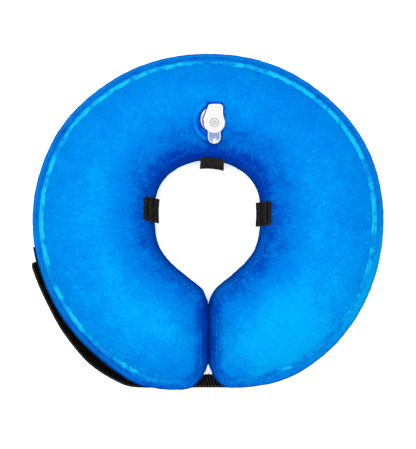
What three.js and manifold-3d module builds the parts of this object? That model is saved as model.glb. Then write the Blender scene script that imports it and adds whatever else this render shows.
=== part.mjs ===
// An inflatable recovery collar: a soft ring, open along one slit, that a pet wears round its neck.
// Millimetres, +Z up. The collar lies on its underside with the slit towards -Y. The origin is on the
// surface that it lies on, below the middle of its outline. A turn is in degrees, clockwise seen from
// above, from the slit: 0 is the slit, 90 the left side, 180 the back and 270 the right side.
import * as THREE from "three";
import { mergeVertices } from "three/addons/utils/BufferGeometryUtils.js";
import Module from "manifold-3d";

// Ring
const RING_WIDTH = 406.4;
const RING_LENGTH = 389.6;
const RING_HEIGHT = 100;
const OUTLINE_ROUNDNESS = 2.05;
const NECK_WIDTH = 121.7;
const NECK_SHIFT = -0.65;
const SLIT_GAP = 0.7;
const SLIT_X = 0.5;
const WALL = 2;
const FLAT_SHARE = 0.3;

// Seams: how far in from the widest line they run, and how far above and below mid-height
const OUTER_SEAM_INSET = 13.4;
const OUTER_SEAM_HEIGHT = 30;
const END_SEAM_INSET = 10.5;
const END_SEAM_HEIGHT = 29;
const NECK_SEAM_INSET = 9;
const NECK_SEAM_HEIGHT = 28;
const SEAM_WIDTH = 4.6;
const SEAM_THICKNESS = 3.8;
const SEAM_PROUD = 1.2;
const SEAM_ROOT_SHARE = 0.62;
const SEAM_CLEARANCE = 0.65;
const SEAM_SLOPE = 47;
const LEAST_SQUARENESS = 0.55;

// Closing strap and the strip that it fastens to
const STRAP_WIDTH = 36;
const STRAP_THICKNESS = 2.5;
const STRAP_LOWER_EDGE = 23;
const STRAP_CORNER = 7;
const STRAP_TUCK = 14.5;
const STRAP_CLEARANCE = 0.6;
const PRESS_MARGIN_TURN = 8;
const PRESS_MARGIN = 4;
const STRIP_THICKNESS = 1.6;
const STRIP_CLEARANCE = 0.35;
const STRIP_MARGIN_TURN = 4;

// Webbing loops
const LOOP_WIDTH = 27;
const LOOP_THICKNESS = 1.6;
const LOOP_CLEARANCE = 0.4;

// Inflation valve: its place is a turn and a share of the way from the neck wall to the outer one
const VALVE_TURN = 183.8;
const VALVE_SHARE = 0.337;
const VALVE_LEAN = 14;
const VALVE_FLAT_RADIUS = 21;
const VALVE_BLEND = 9;
const VALVE_CLEARANCE = 0.4;
const FLANGE_RADIUS = 14.6;
const FLANGE_THICKNESS = 1.4;
const FLANGE_EDGE = 0.84;
const FLANGE_BEVEL = 1;
const FLANGE_SHIFT_X = -2.1;
const FLANGE_SHIFT_Y = 3.1;
const STEM_RADIUS = 8.5;
const STEM_HEIGHT = 6.5;
const STEM_DEPTH = 9;
const BORE_RADIUS = 5.2;
const CAP_RADIUS = 11.9;
const CAP_THICKNESS = 2.6;
const CAP_BEVEL = 0.7;
const CAP_RING_DEPTH = 0.7;
const CAP_DIMPLE_DEPTH = 0.9;
const PLUG_CLEARANCE = 0.3;
const PLUG_LENGTH = 9;
const PLUG_TAPER = 1.2;
const PLUG_TAPER_LENGTH = 2;
const TONGUE_WIDTH = 17;
const TONGUE_SPREAD = 3;
const TONGUE_REACH = 22;
const TONGUE_THICKNESS = 1.8;
const TONGUE_CORNER = 3.5;
const TONGUE_STEP = 0.5;
const HINGE_WIDTH = 10;
const TAB_WIDTH = 14.6;
const TAB_REACH = 24;
const TAB_THICKNESS = 1.3;
const TAB_LIFT = 0.2;
const TURN_FACES = 24;
const CORNER_FACES = 6;

// Outline, as shares of a rounded oval of RING_WIDTH by RING_LENGTH. The lobes swell past it, and
// round in at the slit.
const OUTLINE_ROWS = [
  { turn: 0, left: 0.851, right: 0.851 },
  { turn: 1, left: 0.888, right: 0.888 },
  { turn: 2, left: 0.917, right: 0.917 },
  { turn: 3, left: 0.94, right: 0.94 },
  { turn: 4.5, left: 0.963, right: 0.961 },
  { turn: 6, left: 0.981, right: 0.975 },
  { turn: 9, left: 0.996, right: 0.985 },
  { turn: 12, left: 1.005, right: 0.991 },
  { turn: 16, left: 1.016, right: 0.999 },
  { turn: 20, left: 1.0235, right: 1.008 },
  { turn: 25, left: 1.027, right: 1.015 },
  { turn: 30, left: 1.022, right: 1.023 },
  { turn: 40, left: 1.01, right: 1.023 },
  { turn: 50, left: 1.002, right: 1.016 },
  { turn: 60, left: 0.997, right: 1.008 },
  { turn: 75, left: 0.995, right: 1 },
  { turn: 90, left: 1, right: 1 },
  { turn: 110, left: 0.999, right: 1.003 },
  { turn: 125, left: 1.001, right: 1.001 },
  { turn: 140, left: 0.996, right: 0.996 },
  { turn: 155, left: 0.999, right: 1 },
  { turn: 180, left: 1, right: 1 },
];

// Neck hole, as shares of half its width: a teardrop whose point runs into the slit. Shift is the
// share of NECK_SHIFT that a point takes.
const NECK_ROWS = [
  { turn: 0, reach: 1.64, shift: 0 },
  { turn: 2, reach: 1.42, shift: -0.5 },
  { turn: 5, reach: 1.29, shift: -1 },
  { turn: 10, reach: 1.212, shift: -1.1 },
  { turn: 20, reach: 1.124, shift: -0.9 },
  { turn: 30, reach: 1.073, shift: -0.5 },
  { turn: 45, reach: 1.045, shift: 0.15 },
  { turn: 60, reach: 1.035, shift: 0.8 },
  { turn: 75, reach: 1.01, shift: 1 },
  { turn: 90, reach: 1, shift: 1 },
  { turn: 105, reach: 1.04, shift: 1 },
  { turn: 120, reach: 1.11, shift: 1 },
  { turn: 135, reach: 1.157, shift: 1 },
  { turn: 150, reach: 1.168, shift: 1 },
  { turn: 180, reach: 1.173, shift: 1 },
];

// Strap, from its sewn end under the right lobe (turns below 0) to its free end on the left. Reach is
// a share of the rounded oval, for the outer face at the upper edge. Tuck is the share of STRAP_TUCK
// by which the lower edge lies further in.
const STRAP_ROWS = [
  { turn: -27, reach: 1.014, tuck: 0.2 },
  { turn: -20, reach: 1.009, tuck: 0.22 },
  { turn: -12, reach: 0.998, tuck: 0.24 },
  { turn: -8, reach: 0.988, tuck: 0.26 },
  { turn: -4, reach: 0.981, tuck: 0.44 },
  { turn: 0, reach: 0.979, tuck: 0.62 },
  { turn: 4, reach: 0.981, tuck: 0.44 },
  { turn: 8, reach: 0.989, tuck: 0.22 },
  { turn: 12, reach: 1, tuck: 0.14 },
  { turn: 17, reach: 1.018, tuck: 0.28 },
  { turn: 21, reach: 1.04, tuck: 0.5 },
  { turn: 26, reach: 1.066, tuck: 0.75 },
  { turn: 32, reach: 1.07, tuck: 0.8 },
  { turn: 40, reach: 1.067, tuck: 0.86 },
  { turn: 48, reach: 1.05, tuck: 0.83 },
  { turn: 55, reach: 1.038, tuck: 0.78 },
  { turn: 62, reach: 1.027, tuck: 0.7 },
  { turn: 70, reach: 1.027, tuck: 0.7 },
  { turn: 77, reach: 1.033, tuck: 0.76 },
];
const STRIP_FROM = 31;
const STRIP_TO = 82;

// Webbing loops: where each one sits. Bulge is how far it stands into the hole.
const LOOPS = [
  { name: "loop_top", turn: 184.6, bulge: 9.3, path: "wall" },
  { name: "loop_left", turn: 102, bulge: 4.6, path: "seam" },
  { name: "loop_right", turn: 262, bulge: 4.6, path: "seam" },
];

// The way of a loop down the neck wall. Height is a share of NECK_SEAM_HEIGHT, inset one of
// NECK_SEAM_INSET, and bulge the share of the loop's bulge that the webbing stands off.
const LOOP_PATHS = {
  wall: [
    { height: 0.6, inset: 0.27, bulge: 0 },
    { height: 0.51, inset: 0.17, bulge: 0.06 },
    { height: 0.4, inset: 0, bulge: 0.5 },
    { height: 0.2, inset: 0, bulge: 0.92 },
    { height: 0, inset: 0, bulge: 1 },
    { height: -0.2, inset: 0, bulge: 0.92 },
    { height: -0.4, inset: 0, bulge: 0.5 },
    { height: -0.51, inset: 0.17, bulge: 0.06 },
    { height: -0.6, inset: 0.27, bulge: 0 },
  ],
  seam: [
    { height: 1.15, inset: 1.2, bulge: 0 },
    { height: 1.07, inset: 0.88, bulge: 0.1 },
    { height: 0.89, inset: 0.45, bulge: 0.3 },
    { height: 0.6, inset: 0.1, bulge: 0.62 },
    { height: 0.3, inset: 0, bulge: 0.9 },
    { height: 0, inset: 0, bulge: 1 },
    { height: -0.3, inset: 0, bulge: 0.86 },
    { height: -0.52, inset: 0.14, bulge: 0.3 },
    { height: -0.72, inset: 0.44, bulge: 0 },
  ],
};

// The rings on top of the cap. Radius is a share of CAP_RADIUS, ring and dimple the shares of
// CAP_RING_DEPTH and CAP_DIMPLE_DEPTH that a place lies lower.
const CAP_RINGS = [
  { radius: 0.74, ring: 0, dimple: 0 },
  { radius: 0.7, ring: 1, dimple: 0 },
  { radius: 0.46, ring: 1, dimple: 0 },
  { radius: 0.42, ring: 0, dimple: 0 },
  { radius: 0.24, ring: 0, dimple: 0 },
  { radius: 0.2, ring: 0, dimple: 1 },
  { radius: 0, ring: 0, dimple: 1 },
];

// Mesh steps
const RING_STEPS = 38;
const CREST_START = 24;
const CREST_SHARE = 0.46;
const LOBE_TURNS = [19, 14, 10, 6.5, 4, 2];
const SLIT_STEPS = 3;
const POINT_TURNS = [3, 8, 15];
const OUTER_LEVELS = [-1, -0.8, -0.4, 0, 0.33, 0.64, 1];
const NECK_LEVELS = [-1, -0.66, -0.33, 0, 0.33, 0.66, 1];
const STRIP_LEVELS = OUTER_LEVELS.slice(1, 5);
const PANEL_SHARES = [0, 0.16, 0.38, 0.7];
const SEAM_SIDES = 5;
const LOOP_STEPS = 11;
const STRAP_FINE_TURN = 12;
const STRAP_FINE_STEP = 2;
const STRAP_STEP = 4;
const STRAP_CORNER_STEPS = [1, 0.6, 0.25, 0.06, 0];
const LOOP_ACROSS = [-0.5, -0.17, 0.17, 0.5];
const BAND_BULGE = 2.2;
const PANEL_FULLNESS = 2.9;
const NECK_FULLNESS = 2.5;

// The bulge of the outer wall above the strap: how high it is pushed, and the turns from the slit
// between which it comes and goes
const BAND_LIFT = 0.6;
const LIFT_FROM = 2;
const LIFT_FULL = 7;
const LIFT_FADES = 22;
const LIFT_ENDS = 38;

const MID_HEIGHT = RING_HEIGHT / 2;
const SEAM_REACH = SEAM_WIDTH / 2 + SEAM_CLEARANCE;
const STRAP_UPPER_EDGE = STRAP_LOWER_EDGE + STRAP_WIDTH;

const wasm = await Module();
wasm.setup();

const radians = THREE.MathUtils.degToRad;
const lerp = THREE.MathUtils.lerp;
const clamp = THREE.MathUtils.clamp;
const smoothstep = THREE.MathUtils.smoothstep;

/** Reads one column of a table at a place between its rows, along a smooth curve. */
function readTable(rows, column, turn) {
  const last = rows.length - 1;
  const at = clamp(turn, rows[0].turn, rows[last].turn);
  let row = 0;
  while (row < last - 1 && at > rows[row + 1].turn) row += 1;
  const slope = (index) => {
    const before = rows[Math.max(index - 1, 0)];
    const after = rows[Math.min(index + 1, last)];
    return (after[column] - before[column]) / (after.turn - before.turn);
  };
  const step = rows[row + 1].turn - rows[row].turn;
  const t = (at - rows[row].turn) / step;
  const start = rows[row][column];
  const end = rows[row + 1][column];
  const bend = t * (1 - t) ** 2 * slope(row) * step - t * t * (1 - t) * slope(row + 1) * step;
  return start + (end - start) * t * t * (3 - 2 * t) + bend;
}

/** A point at a turn and a distance from the middle of the ring. */
function turned(turn, radius) {
  return new THREE.Vector2(-Math.sin(radians(turn)) * radius, -Math.cos(radians(turn)) * radius);
}

/** Radius of the rounded oval at a turn. */
function ovalRadius(turn) {
  const across = Math.abs(Math.sin(radians(turn)) * 2) / RING_WIDTH;
  const along = Math.abs(Math.cos(radians(turn)) * 2) / RING_LENGTH;
  return (across ** OUTLINE_ROUNDNESS + along ** OUTLINE_ROUNDNESS) ** (-1 / OUTLINE_ROUNDNESS);
}

/** Keeps a point on its own side of the slit. */
function besideSlit(point, side) {
  const limit = SLIT_X + side * SLIT_GAP / 2;
  point.x = side < 0 ? Math.min(point.x, limit) : Math.max(point.x, limit);
  return point;
}

/** The widest line of the outer wall. */
function outlinePoint(turn) {
  const side = turn < 180 ? -1 : 1;
  const fromSlit = side < 0 ? turn : 360 - turn;
  const share = readTable(OUTLINE_ROWS, side < 0 ? "left" : "right", fromSlit);
  return besideSlit(turned(turn, ovalRadius(turn) * share), side);
}

/** The widest line of the neck wall. */
function neckPoint(turn) {
  const side = turn < 180 ? -1 : 1;
  const fromSlit = side < 0 ? turn : 360 - turn;
  const point = turned(turn, NECK_WIDTH / 2 * readTable(NECK_ROWS, "reach", fromSlit));
  point.x += NECK_SHIFT * readTable(NECK_ROWS, "shift", fromSlit);
  return besideSlit(point, side);
}

/** The place below the crest of the ring at a step from the left end to the right. */
function crestPoint(step) {
  const turn = lerp(CREST_START, 360 - CREST_START, step / RING_STEPS);
  return outlinePoint(turn).lerp(neckPoint(turn), CREST_SHARE);
}

const WALL_SHAPES = {
  outer: { inset: OUTER_SEAM_INSET, height: OUTER_SEAM_HEIGHT, fullness: PANEL_FULLNESS },
  end: { inset: END_SEAM_INSET, height: END_SEAM_HEIGHT, fullness: PANEL_FULLNESS },
  neck: { inset: NECK_SEAM_INSET, height: NECK_SEAM_HEIGHT, fullness: NECK_FULLNESS },
};

/** How much of the bulge of the outer wall is pushed up, above the strap, at a turn. */
function bandLift(turn) {
  const fromSlit = turn < 180 ? turn : 360 - turn;
  const fades = 1 - smoothstep(fromSlit, LIFT_FADES, LIFT_ENDS);
  return BAND_LIFT * fades * smoothstep(fromSlit, LIFT_FROM, LIFT_FULL);
}

/** One station of the closed line round both panels: a point of the widest line and its crest. */
function station(edge, crestStep, shape, lift = 0) {
  return { edge, crestStep, crest: crestPoint(crestStep), lift, ...WALL_SHAPES[shape] };
}

/** The stations in order: left end, left lobe, outer wall, right lobe, right end, neck wall. */
function layStations() {
  const stations = [];
  const apex = outlinePoint(0).y;
  const tip = neckPoint(0).y;
  const endStations = (side, step) => {
    const line = [];
    for (let i = 0; i <= SLIT_STEPS; i += 1) {
      const y = lerp(tip - SEAM_CLEARANCE, apex, i / SLIT_STEPS);
      const shape = i === 0 ? "neck" : "end";
      line.push(station(besideSlit(new THREE.Vector2(SLIT_X, y), side), step, shape));
    }
    for (const fromSlit of [...LOBE_TURNS].reverse()) {
      const turn = side < 0 ? fromSlit : 360 - fromSlit;
      line.push(station(outlinePoint(turn), step, "end", bandLift(turn)));
    }
    return line;
  };
  stations.push(...endStations(-1, 0));
  for (let step = 0; step <= RING_STEPS; step += 1) {
    const turn = lerp(CREST_START, 360 - CREST_START, step / RING_STEPS);
    stations.push(station(outlinePoint(turn), step, "outer", bandLift(turn)));
  }
  stations.push(...endStations(1, RING_STEPS).reverse());
  const neckStart = stations.length;
  stations.push(station(besideSlit(new THREE.Vector2(SLIT_X, tip + SEAM_CLEARANCE), 1), RING_STEPS, "neck"));
  for (const fromSlit of POINT_TURNS) {
    stations.push(station(neckPoint(360 - fromSlit), RING_STEPS, "neck"));
  }
  for (let step = RING_STEPS; step >= 0; step -= 1) {
    const turn = lerp(CREST_START, 360 - CREST_START, step / RING_STEPS);
    stations.push(station(neckPoint(turn), step, "neck"));
  }
  for (const fromSlit of [...POINT_TURNS].reverse()) {
    stations.push(station(neckPoint(fromSlit), 0, "neck"));
  }
  stations.push(station(besideSlit(new THREE.Vector2(SLIT_X, tip + SEAM_CLEARANCE), -1), 0, "neck"));
  return { stations, neckStart };
}

const { stations, neckStart } = layStations();

// Each station's way in, and how much longer an inset is along it than straight across the wall
stations.forEach((here, index) => {
  const before = stations[(index + stations.length - 1) % stations.length];
  const after = stations[(index + 1) % stations.length];
  const along = after.edge.clone().sub(before.edge).normalize();
  const across = new THREE.Vector2(along.y, -along.x);
  here.reach = here.crest.distanceTo(here.edge);
  here.inward = here.crest.clone().sub(here.edge).divideScalar(here.reach);
  here.stretch = 1 / Math.max(across.dot(here.inward), LEAST_SQUARENESS);
});

/** A point at an inset from the widest line and a height above the middle of the ring. */
function sectionPoint(here, inset, height) {
  const place = here.edge.clone().addScaledVector(here.inward, inset * here.stretch);
  return new THREE.Vector3(place.x, place.y, MID_HEIGHT + height);
}

/** Radius of the strap's inner face at a turn and a height, or none where it doesn't run. */
function strapInside(turn, height) {
  const first = STRAP_ROWS[0].turn - PRESS_MARGIN_TURN;
  const last = STRIP_TO + PRESS_MARGIN_TURN;
  if (turn < first || turn > last) return Infinity;
  if (height < STRAP_LOWER_EDGE || height > STRAP_UPPER_EDGE + PRESS_MARGIN) return Infinity;
  const upper = ovalRadius(turn) * readTable(STRAP_ROWS, "reach", turn);
  const tuck = STRAP_TUCK * readTable(STRAP_ROWS, "tuck", turn);
  const up = clamp((height - STRAP_LOWER_EDGE) / STRAP_WIDTH, 0, 1);
  return upper - STRAP_THICKNESS - tuck * (1 - up);
}

/** Moves a point of the outer wall in behind the strap, and behind the strip where that runs. */
function pressed(point) {
  const turn = THREE.MathUtils.radToDeg(Math.atan2(-point.x, -point.y));
  const radius = Math.hypot(point.x, point.y);
  const strip = turn > STRIP_FROM - STRIP_MARGIN_TURN ? STRIP_THICKNESS + STRIP_CLEARANCE : 0;
  const limit = strapInside(turn, point.z) - STRAP_CLEARANCE - strip;
  if (radius <= limit) return point;
  return new THREE.Vector3(point.x * limit / radius, point.y * limit / radius, point.z);
}

/** A point of a wall. Level runs from -1 at the lower seam to 1 at the upper one. */
function bandPoint(here, level) {
  const slope = radians(SEAM_SLOPE);
  const inset = here.inset - SEAM_REACH * Math.cos(slope);
  const height = here.height - SEAM_REACH * Math.sin(slope);
  const room = level > here.lift ? 1 - here.lift : 1 + here.lift;
  const away = Math.abs(level - here.lift) / room;
  const point = sectionPoint(here, inset * away ** BAND_BULGE, height * level);
  return pressed(point);
}

/** A point of a panel. Share runs from 0 at the seam to 1 at the crest, side is 1 above, -1 below. */
function panelPoint(here, share, side) {
  const slope = radians(SEAM_SLOPE);
  const start = here.inset + SEAM_REACH * Math.cos(slope);
  const height = here.height + SEAM_REACH * Math.sin(slope);
  const inset = lerp(start, here.reach / here.stretch, share);
  const rise = side > 0 ? share : Math.min(share / (1 - FLAT_SHARE), 1);
  const climb = 1 - (1 - rise) ** here.fullness;
  return sectionPoint(here, inset, side * lerp(height, MID_HEIGHT, climb));
}

/** A geometry from points and triangles. */
function meshFrom(points, triangles) {
  const geometry = new THREE.BufferGeometry();
  geometry.setAttribute("position", new THREE.Float32BufferAttribute(points.flatMap((p) => p.toArray()), 3));
  geometry.setIndex(triangles.flat());
  return geometry;
}

/** Gives an open surface a thickness, on the side away from the way its triangles face. */
function thicken(points, triangles, thickness) {
  const surface = meshFrom(points, triangles);
  surface.computeVertexNormals();
  const normals = surface.getAttribute("normal");
  const count = points.length;
  const inner = points.map((point, index) => {
    const normal = new THREE.Vector3().fromBufferAttribute(normals, index);
    return point.clone().addScaledVector(normal, -thickness);
  });
  const closed = [...triangles];
  const edges = new Set(triangles.flatMap(([a, b, c]) => [`${a} ${b}`, `${b} ${c}`, `${c} ${a}`]));
  for (const [a, b, c] of triangles) {
    closed.push([a + count, c + count, b + count]);
  }
  for (const edge of edges) {
    const [a, b] = edge.split(" ").map(Number);
    if (edges.has(`${b} ${a}`)) continue;
    closed.push([b, a, a + count], [b, a + count, b + count]);
  }
  return meshFrom([...points, ...inner], closed);
}

/** Splits a four-sided cell in two, leaving out a half that has no width. */
function cell(a, b, c, d) {
  return [[a, b, c], [a, c, d]].filter(([p, q, r]) => p !== q && q !== r && r !== p);
}

/** A strip of cells from rows of points that run side by side. */
function stripOf(rows) {
  const width = rows[0].length;
  const triangles = [];
  for (let row = 0; row < rows.length - 1; row += 1) {
    for (let i = 0; i < width - 1; i += 1) {
      const here = row * width + i;
      triangles.push(...cell(here, here + 1, here + width + 1, here + width));
    }
  }
  return { points: rows.flat(), triangles };
}

/** A panel: rings of points from the seam in, then the line of the crest. */
function panelGeometry(side) {
  const count = stations.length;
  const points = PANEL_SHARES.flatMap((share) => stations.map((here) => panelPoint(here, share, side)));
  const crestStart = points.length;
  for (let step = 0; step <= RING_STEPS; step += 1) {
    const crest = crestPoint(step);
    points.push(new THREE.Vector3(crest.x, crest.y, MID_HEIGHT + side * MID_HEIGHT));
  }
  const triangles = [];
  const last = PANEL_SHARES.length - 1;
  for (let row = 0; row <= last; row += 1) {
    for (let i = 0; i < count; i += 1) {
      const next = (i + 1) % count;
      const inside = (index) => {
        return row < last ? (row + 1) * count + index : crestStart + stations[index].crestStep;
      };
      const corners = [row * count + i, inside(i), inside(next), row * count + next];
      triangles.push(...cell(...(side > 0 ? corners : corners.reverse())));
    }
  }
  const shaped = side > 0 ? points.map(flattenedAtValve) : points;
  return thicken(shaped, triangles, WALL);
}

/** A wall between the seams, along the given stations. */
function bandGeometry(line, levels) {
  const rows = line.map((here) => levels.map((level) => bandPoint(here, level)));
  const { points, triangles } = stripOf(rows);
  return thicken(points, triangles, WALL);
}

/** A raised seam right round a panel. */
function seamGeometry(side) {
  const slope = radians(SEAM_SLOPE);
  const depth = SEAM_THICKNESS / 2 - SEAM_PROUD;
  const points = stations.flatMap((here) => {
    return Array.from({ length: SEAM_SIDES }, (_, corner) => {
      const angle = 2 * Math.PI * (corner + 0.5) / SEAM_SIDES;
      const width = Math.sin(angle) < 0 ? SEAM_WIDTH * SEAM_ROOT_SHARE : SEAM_WIDTH;
      const along = width / 2 * Math.cos(angle);
      const out = SEAM_THICKNESS / 2 * Math.sin(angle) - depth;
      const inset = here.inset + along * Math.cos(slope) - out * Math.sin(slope);
      const height = here.height + along * Math.sin(slope) + out * Math.cos(slope);
      return sectionPoint(here, inset, side * height);
    });
  });
  const triangles = [];
  const count = stations.length;
  for (let i = 0; i < count; i += 1) {
    const next = (i + 1) % count;
    for (let corner = 0; corner < SEAM_SIDES; corner += 1) {
      const turnOn = (corner + 1) % SEAM_SIDES;
      const corners = [
        i * SEAM_SIDES + corner,
        i * SEAM_SIDES + turnOn,
        next * SEAM_SIDES + turnOn,
        next * SEAM_SIDES + corner,
      ];
      triangles.push(...cell(...(side > 0 ? corners.reverse() : corners)));
    }
  }
  return meshFrom(points, triangles);
}

// The valve's own frame: its origin on the panel, its Z along the leaning stem
const valveFrame = new THREE.Object3D();

/** Height of the top panel, along the ring's width, above a place. */
function panelHeightAt(x, y) {
  const turn = THREE.MathUtils.radToDeg(Math.atan2(-x, -y)) + (x > 0 ? 360 : 0);
  const neck = neckPoint(turn);
  const outer = outlinePoint(turn);
  const crest = outer.clone().lerp(neck, CREST_SHARE);
  const here = { edge: neck, reach: crest.distanceTo(neck), stretch: 1, ...WALL_SHAPES.neck };
  here.inward = crest.clone().sub(neck).normalize();
  const start = here.inset + SEAM_REACH * Math.cos(radians(SEAM_SLOPE));
  const share = (Math.hypot(x - neck.x, y - neck.y) - start) / (here.reach - start);
  return panelPoint(here, share, 1).z;
}

const valvePlace = neckPoint(VALVE_TURN).lerp(outlinePoint(VALVE_TURN), VALVE_SHARE);
valveFrame.position.set(valvePlace.x, valvePlace.y, panelHeightAt(valvePlace.x, valvePlace.y));
valveFrame.rotation.set(radians(VALVE_LEAN), 0, 0);
valveFrame.updateMatrixWorld();

/** Draws a point of the top panel onto the flat that the valve is welded to. */
function flattenedAtValve(point) {
  const local = valveFrame.worldToLocal(point.clone());
  const away = Math.hypot(local.x, local.y);
  const hold = 1 - smoothstep(away, VALVE_FLAT_RADIUS, VALVE_FLAT_RADIUS + VALVE_BLEND);
  local.z *= 1 - hold;
  return valveFrame.localToWorld(local);
}

/** A closed geometry as a manifold-3d solid. */
function solidOf(geometry) {
  const bare = geometry.index ? geometry.toNonIndexed() : geometry.clone();
  bare.deleteAttribute("normal");
  bare.deleteAttribute("uv");
  const merged = mergeVertices(bare, 1e-4);
  const mesh = new wasm.Mesh({
    numProp: 3,
    vertProperties: new Float32Array(merged.getAttribute("position").array),
    triVerts: new Uint32Array(merged.index.array),
  });
  return new wasm.Manifold(mesh);
}

/** A manifold-3d solid as a geometry. */
function geometryOf(solid) {
  const mesh = solid.getMesh();
  const geometry = new THREE.BufferGeometry();
  geometry.setAttribute("position", new THREE.Float32BufferAttribute(mesh.vertProperties, 3));
  geometry.setIndex(new THREE.Uint32BufferAttribute(mesh.triVerts, 1));
  return geometry;
}

/** A turned body about the Z axis, from [radius, height] pairs that close on themselves. */
function turnedBody(profile) {
  const points = [...profile, profile[0]].map(([radius, height]) => new THREE.Vector2(radius, height));
  return new THREE.LatheGeometry(points, TURN_FACES).rotateX(Math.PI / 2);
}

/** A flat plate from an outline in X and Y, from a height up. */
function plate(outline, thickness, height) {
  const settings = { depth: thickness, bevelEnabled: false, curveSegments: CORNER_FACES };
  return new THREE.ExtrudeGeometry(outline, settings).translate(0, 0, height);
}

/** A tongue from the middle of the valve to a reach along Y. Spread widens its left side at the root. */
function tongueOutline(width, reach, corner, spread = 0) {
  const half = width / 2;
  const way = Math.sign(reach);
  const shape = new THREE.Shape();
  shape.moveTo(-half - spread, 0);
  shape.lineTo(-half, reach - way * corner);
  shape.quadraticCurveTo(-half, reach, -half + corner, reach);
  shape.lineTo(half - corner, reach);
  shape.quadraticCurveTo(half, reach, half, reach - way * corner);
  shape.lineTo(half, 0);
  return shape;
}

/** The valve's base: a flange on the panel, off the middle of the stem that passes through it. */
function valveBody() {
  const seat = VALVE_CLEARANCE;
  const stemTop = seat + STEM_HEIGHT;
  const flange = turnedBody([
    [0, seat],
    [FLANGE_RADIUS, seat],
    [FLANGE_RADIUS, seat + FLANGE_EDGE],
    [FLANGE_RADIUS - FLANGE_BEVEL, seat + FLANGE_THICKNESS],
    [0, seat + FLANGE_THICKNESS],
  ]);
  flange.translate(FLANGE_SHIFT_X, FLANGE_SHIFT_Y, 0);
  const stem = turnedBody([[0, -STEM_DEPTH], [STEM_RADIUS, -STEM_DEPTH], [STEM_RADIUS, stemTop], [0, stemTop]]);
  const bore = new THREE.CylinderGeometry(BORE_RADIUS, BORE_RADIUS, STEM_DEPTH * 4, TURN_FACES);
  bore.rotateX(Math.PI / 2);
  return geometryOf(solidOf(flange).add(solidOf(stem)).subtract(solidOf(bore)));
}

/** The stopper: a ringed cap and plug, with the hinge tongue and the pull tab. */
function valveStopper() {
  const base = VALVE_CLEARANCE + STEM_HEIGHT + PLUG_CLEARANCE;
  const top = base + CAP_THICKNESS;
  const plug = BORE_RADIUS - PLUG_CLEARANCE;
  const cap = turnedBody([
    [0, base - PLUG_LENGTH],
    [plug - PLUG_TAPER, base - PLUG_LENGTH],
    [plug, base - PLUG_LENGTH + PLUG_TAPER_LENGTH],
    [plug, base],
    [CAP_RADIUS - CAP_BEVEL, base],
    [CAP_RADIUS, base + CAP_BEVEL],
    [CAP_RADIUS, top - CAP_BEVEL],
    [CAP_RADIUS - CAP_BEVEL, top],
    ...CAP_RINGS.map(({ radius, ring, dimple }) => {
      return [CAP_RADIUS * radius, top - CAP_RING_DEPTH * ring - CAP_DIMPLE_DEPTH * dimple];
    }),
  ]);
  const foot = VALVE_CLEARANCE + FLANGE_THICKNESS + VALVE_CLEARANCE;
  const tongueTop = top - TONGUE_STEP;
  const tongueShape = tongueOutline(TONGUE_WIDTH, TONGUE_REACH, TONGUE_CORNER, TONGUE_SPREAD);
  const tongue = plate(tongueShape, TONGUE_THICKNESS, tongueTop - TONGUE_THICKNESS);
  const hingeTop = tongueTop - TAB_LIFT;
  const hinge = new THREE.BoxGeometry(HINGE_WIDTH, TONGUE_THICKNESS, hingeTop - foot);
  hinge.translate(0, TONGUE_REACH - TONGUE_THICKNESS / 2, (hingeTop + foot) / 2);
  const tab = plate(tongueOutline(TAB_WIDTH, -TAB_REACH, TAB_WIDTH / 2), TAB_THICKNESS, base + TAB_LIFT);
  return geometryOf(solidOf(cap).add(solidOf(tongue)).add(solidOf(hinge)).add(solidOf(tab)));
}

/** The top panel with the hole that the valve's stem passes through. */
function topPanelGeometry() {
  const cutter = new THREE.CylinderGeometry(
    STEM_RADIUS + VALVE_CLEARANCE, STEM_RADIUS + VALVE_CLEARANCE, STEM_DEPTH * 2, TURN_FACES,
  );
  cutter.rotateX(Math.PI / 2);
  cutter.applyMatrix4(valveFrame.matrixWorld);
  return geometryOf(solidOf(panelGeometry(1)).subtract(solidOf(cutter)));
}

/** The strap: a ruled band whose free end has round corners. */
function strapGeometry() {
  const first = STRAP_ROWS[0].turn;
  const last = STRAP_ROWS[STRAP_ROWS.length - 1].turn;
  const perDegree = radians(1) * ovalRadius(last);
  const corner = STRAP_CORNER / perDegree;
  const turns = [];
  for (let turn = first; turn < last - corner;) {
    turns.push(turn);
    turn += Math.abs(turn) < STRAP_FINE_TURN ? STRAP_FINE_STEP : STRAP_STEP;
  }
  turns.push(...STRAP_CORNER_STEPS.map((share) => last - corner * share));
  const rows = turns.map((turn) => {
    const near = clamp((turn - last + corner) / corner, 0, 1);
    const cut = STRAP_CORNER * (1 - Math.sqrt(1 - near * near));
    const low = cut / STRAP_WIDTH;
    const upper = ovalRadius(turn) * readTable(STRAP_ROWS, "reach", turn);
    const tuck = STRAP_TUCK * readTable(STRAP_ROWS, "tuck", turn);
    return [low, 0.5, 1 - low].map((up) => {
      const place = turned(turn, upper - tuck * (1 - up));
      return new THREE.Vector3(place.x, place.y, STRAP_LOWER_EDGE + STRAP_WIDTH * up);
    });
  });
  const { points, triangles } = stripOf(rows);
  return thicken(points, triangles, STRAP_THICKNESS);
}

/** The strip that the strap fastens to, laid on the outer wall. */
function landingStripGeometry() {
  const line = stations.slice(0, neckStart).filter((here) => {
    const turn = THREE.MathUtils.radToDeg(Math.atan2(-here.edge.x, -here.edge.y));
    return turn > STRIP_FROM && turn < STRIP_TO;
  });
  const rows = line.map((here) => STRIP_LEVELS.map((level) => bandPoint(here, level)));
  const { points, triangles } = stripOf(rows);
  const surface = meshFrom(points, triangles);
  surface.computeVertexNormals();
  const normals = surface.getAttribute("normal");
  const raised = points.map((point, index) => {
    const normal = new THREE.Vector3().fromBufferAttribute(normals, index);
    return point.addScaledVector(normal, STRIP_CLEARANCE + STRIP_THICKNESS);
  });
  return thicken(raised, triangles, STRIP_THICKNESS);
}

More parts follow.
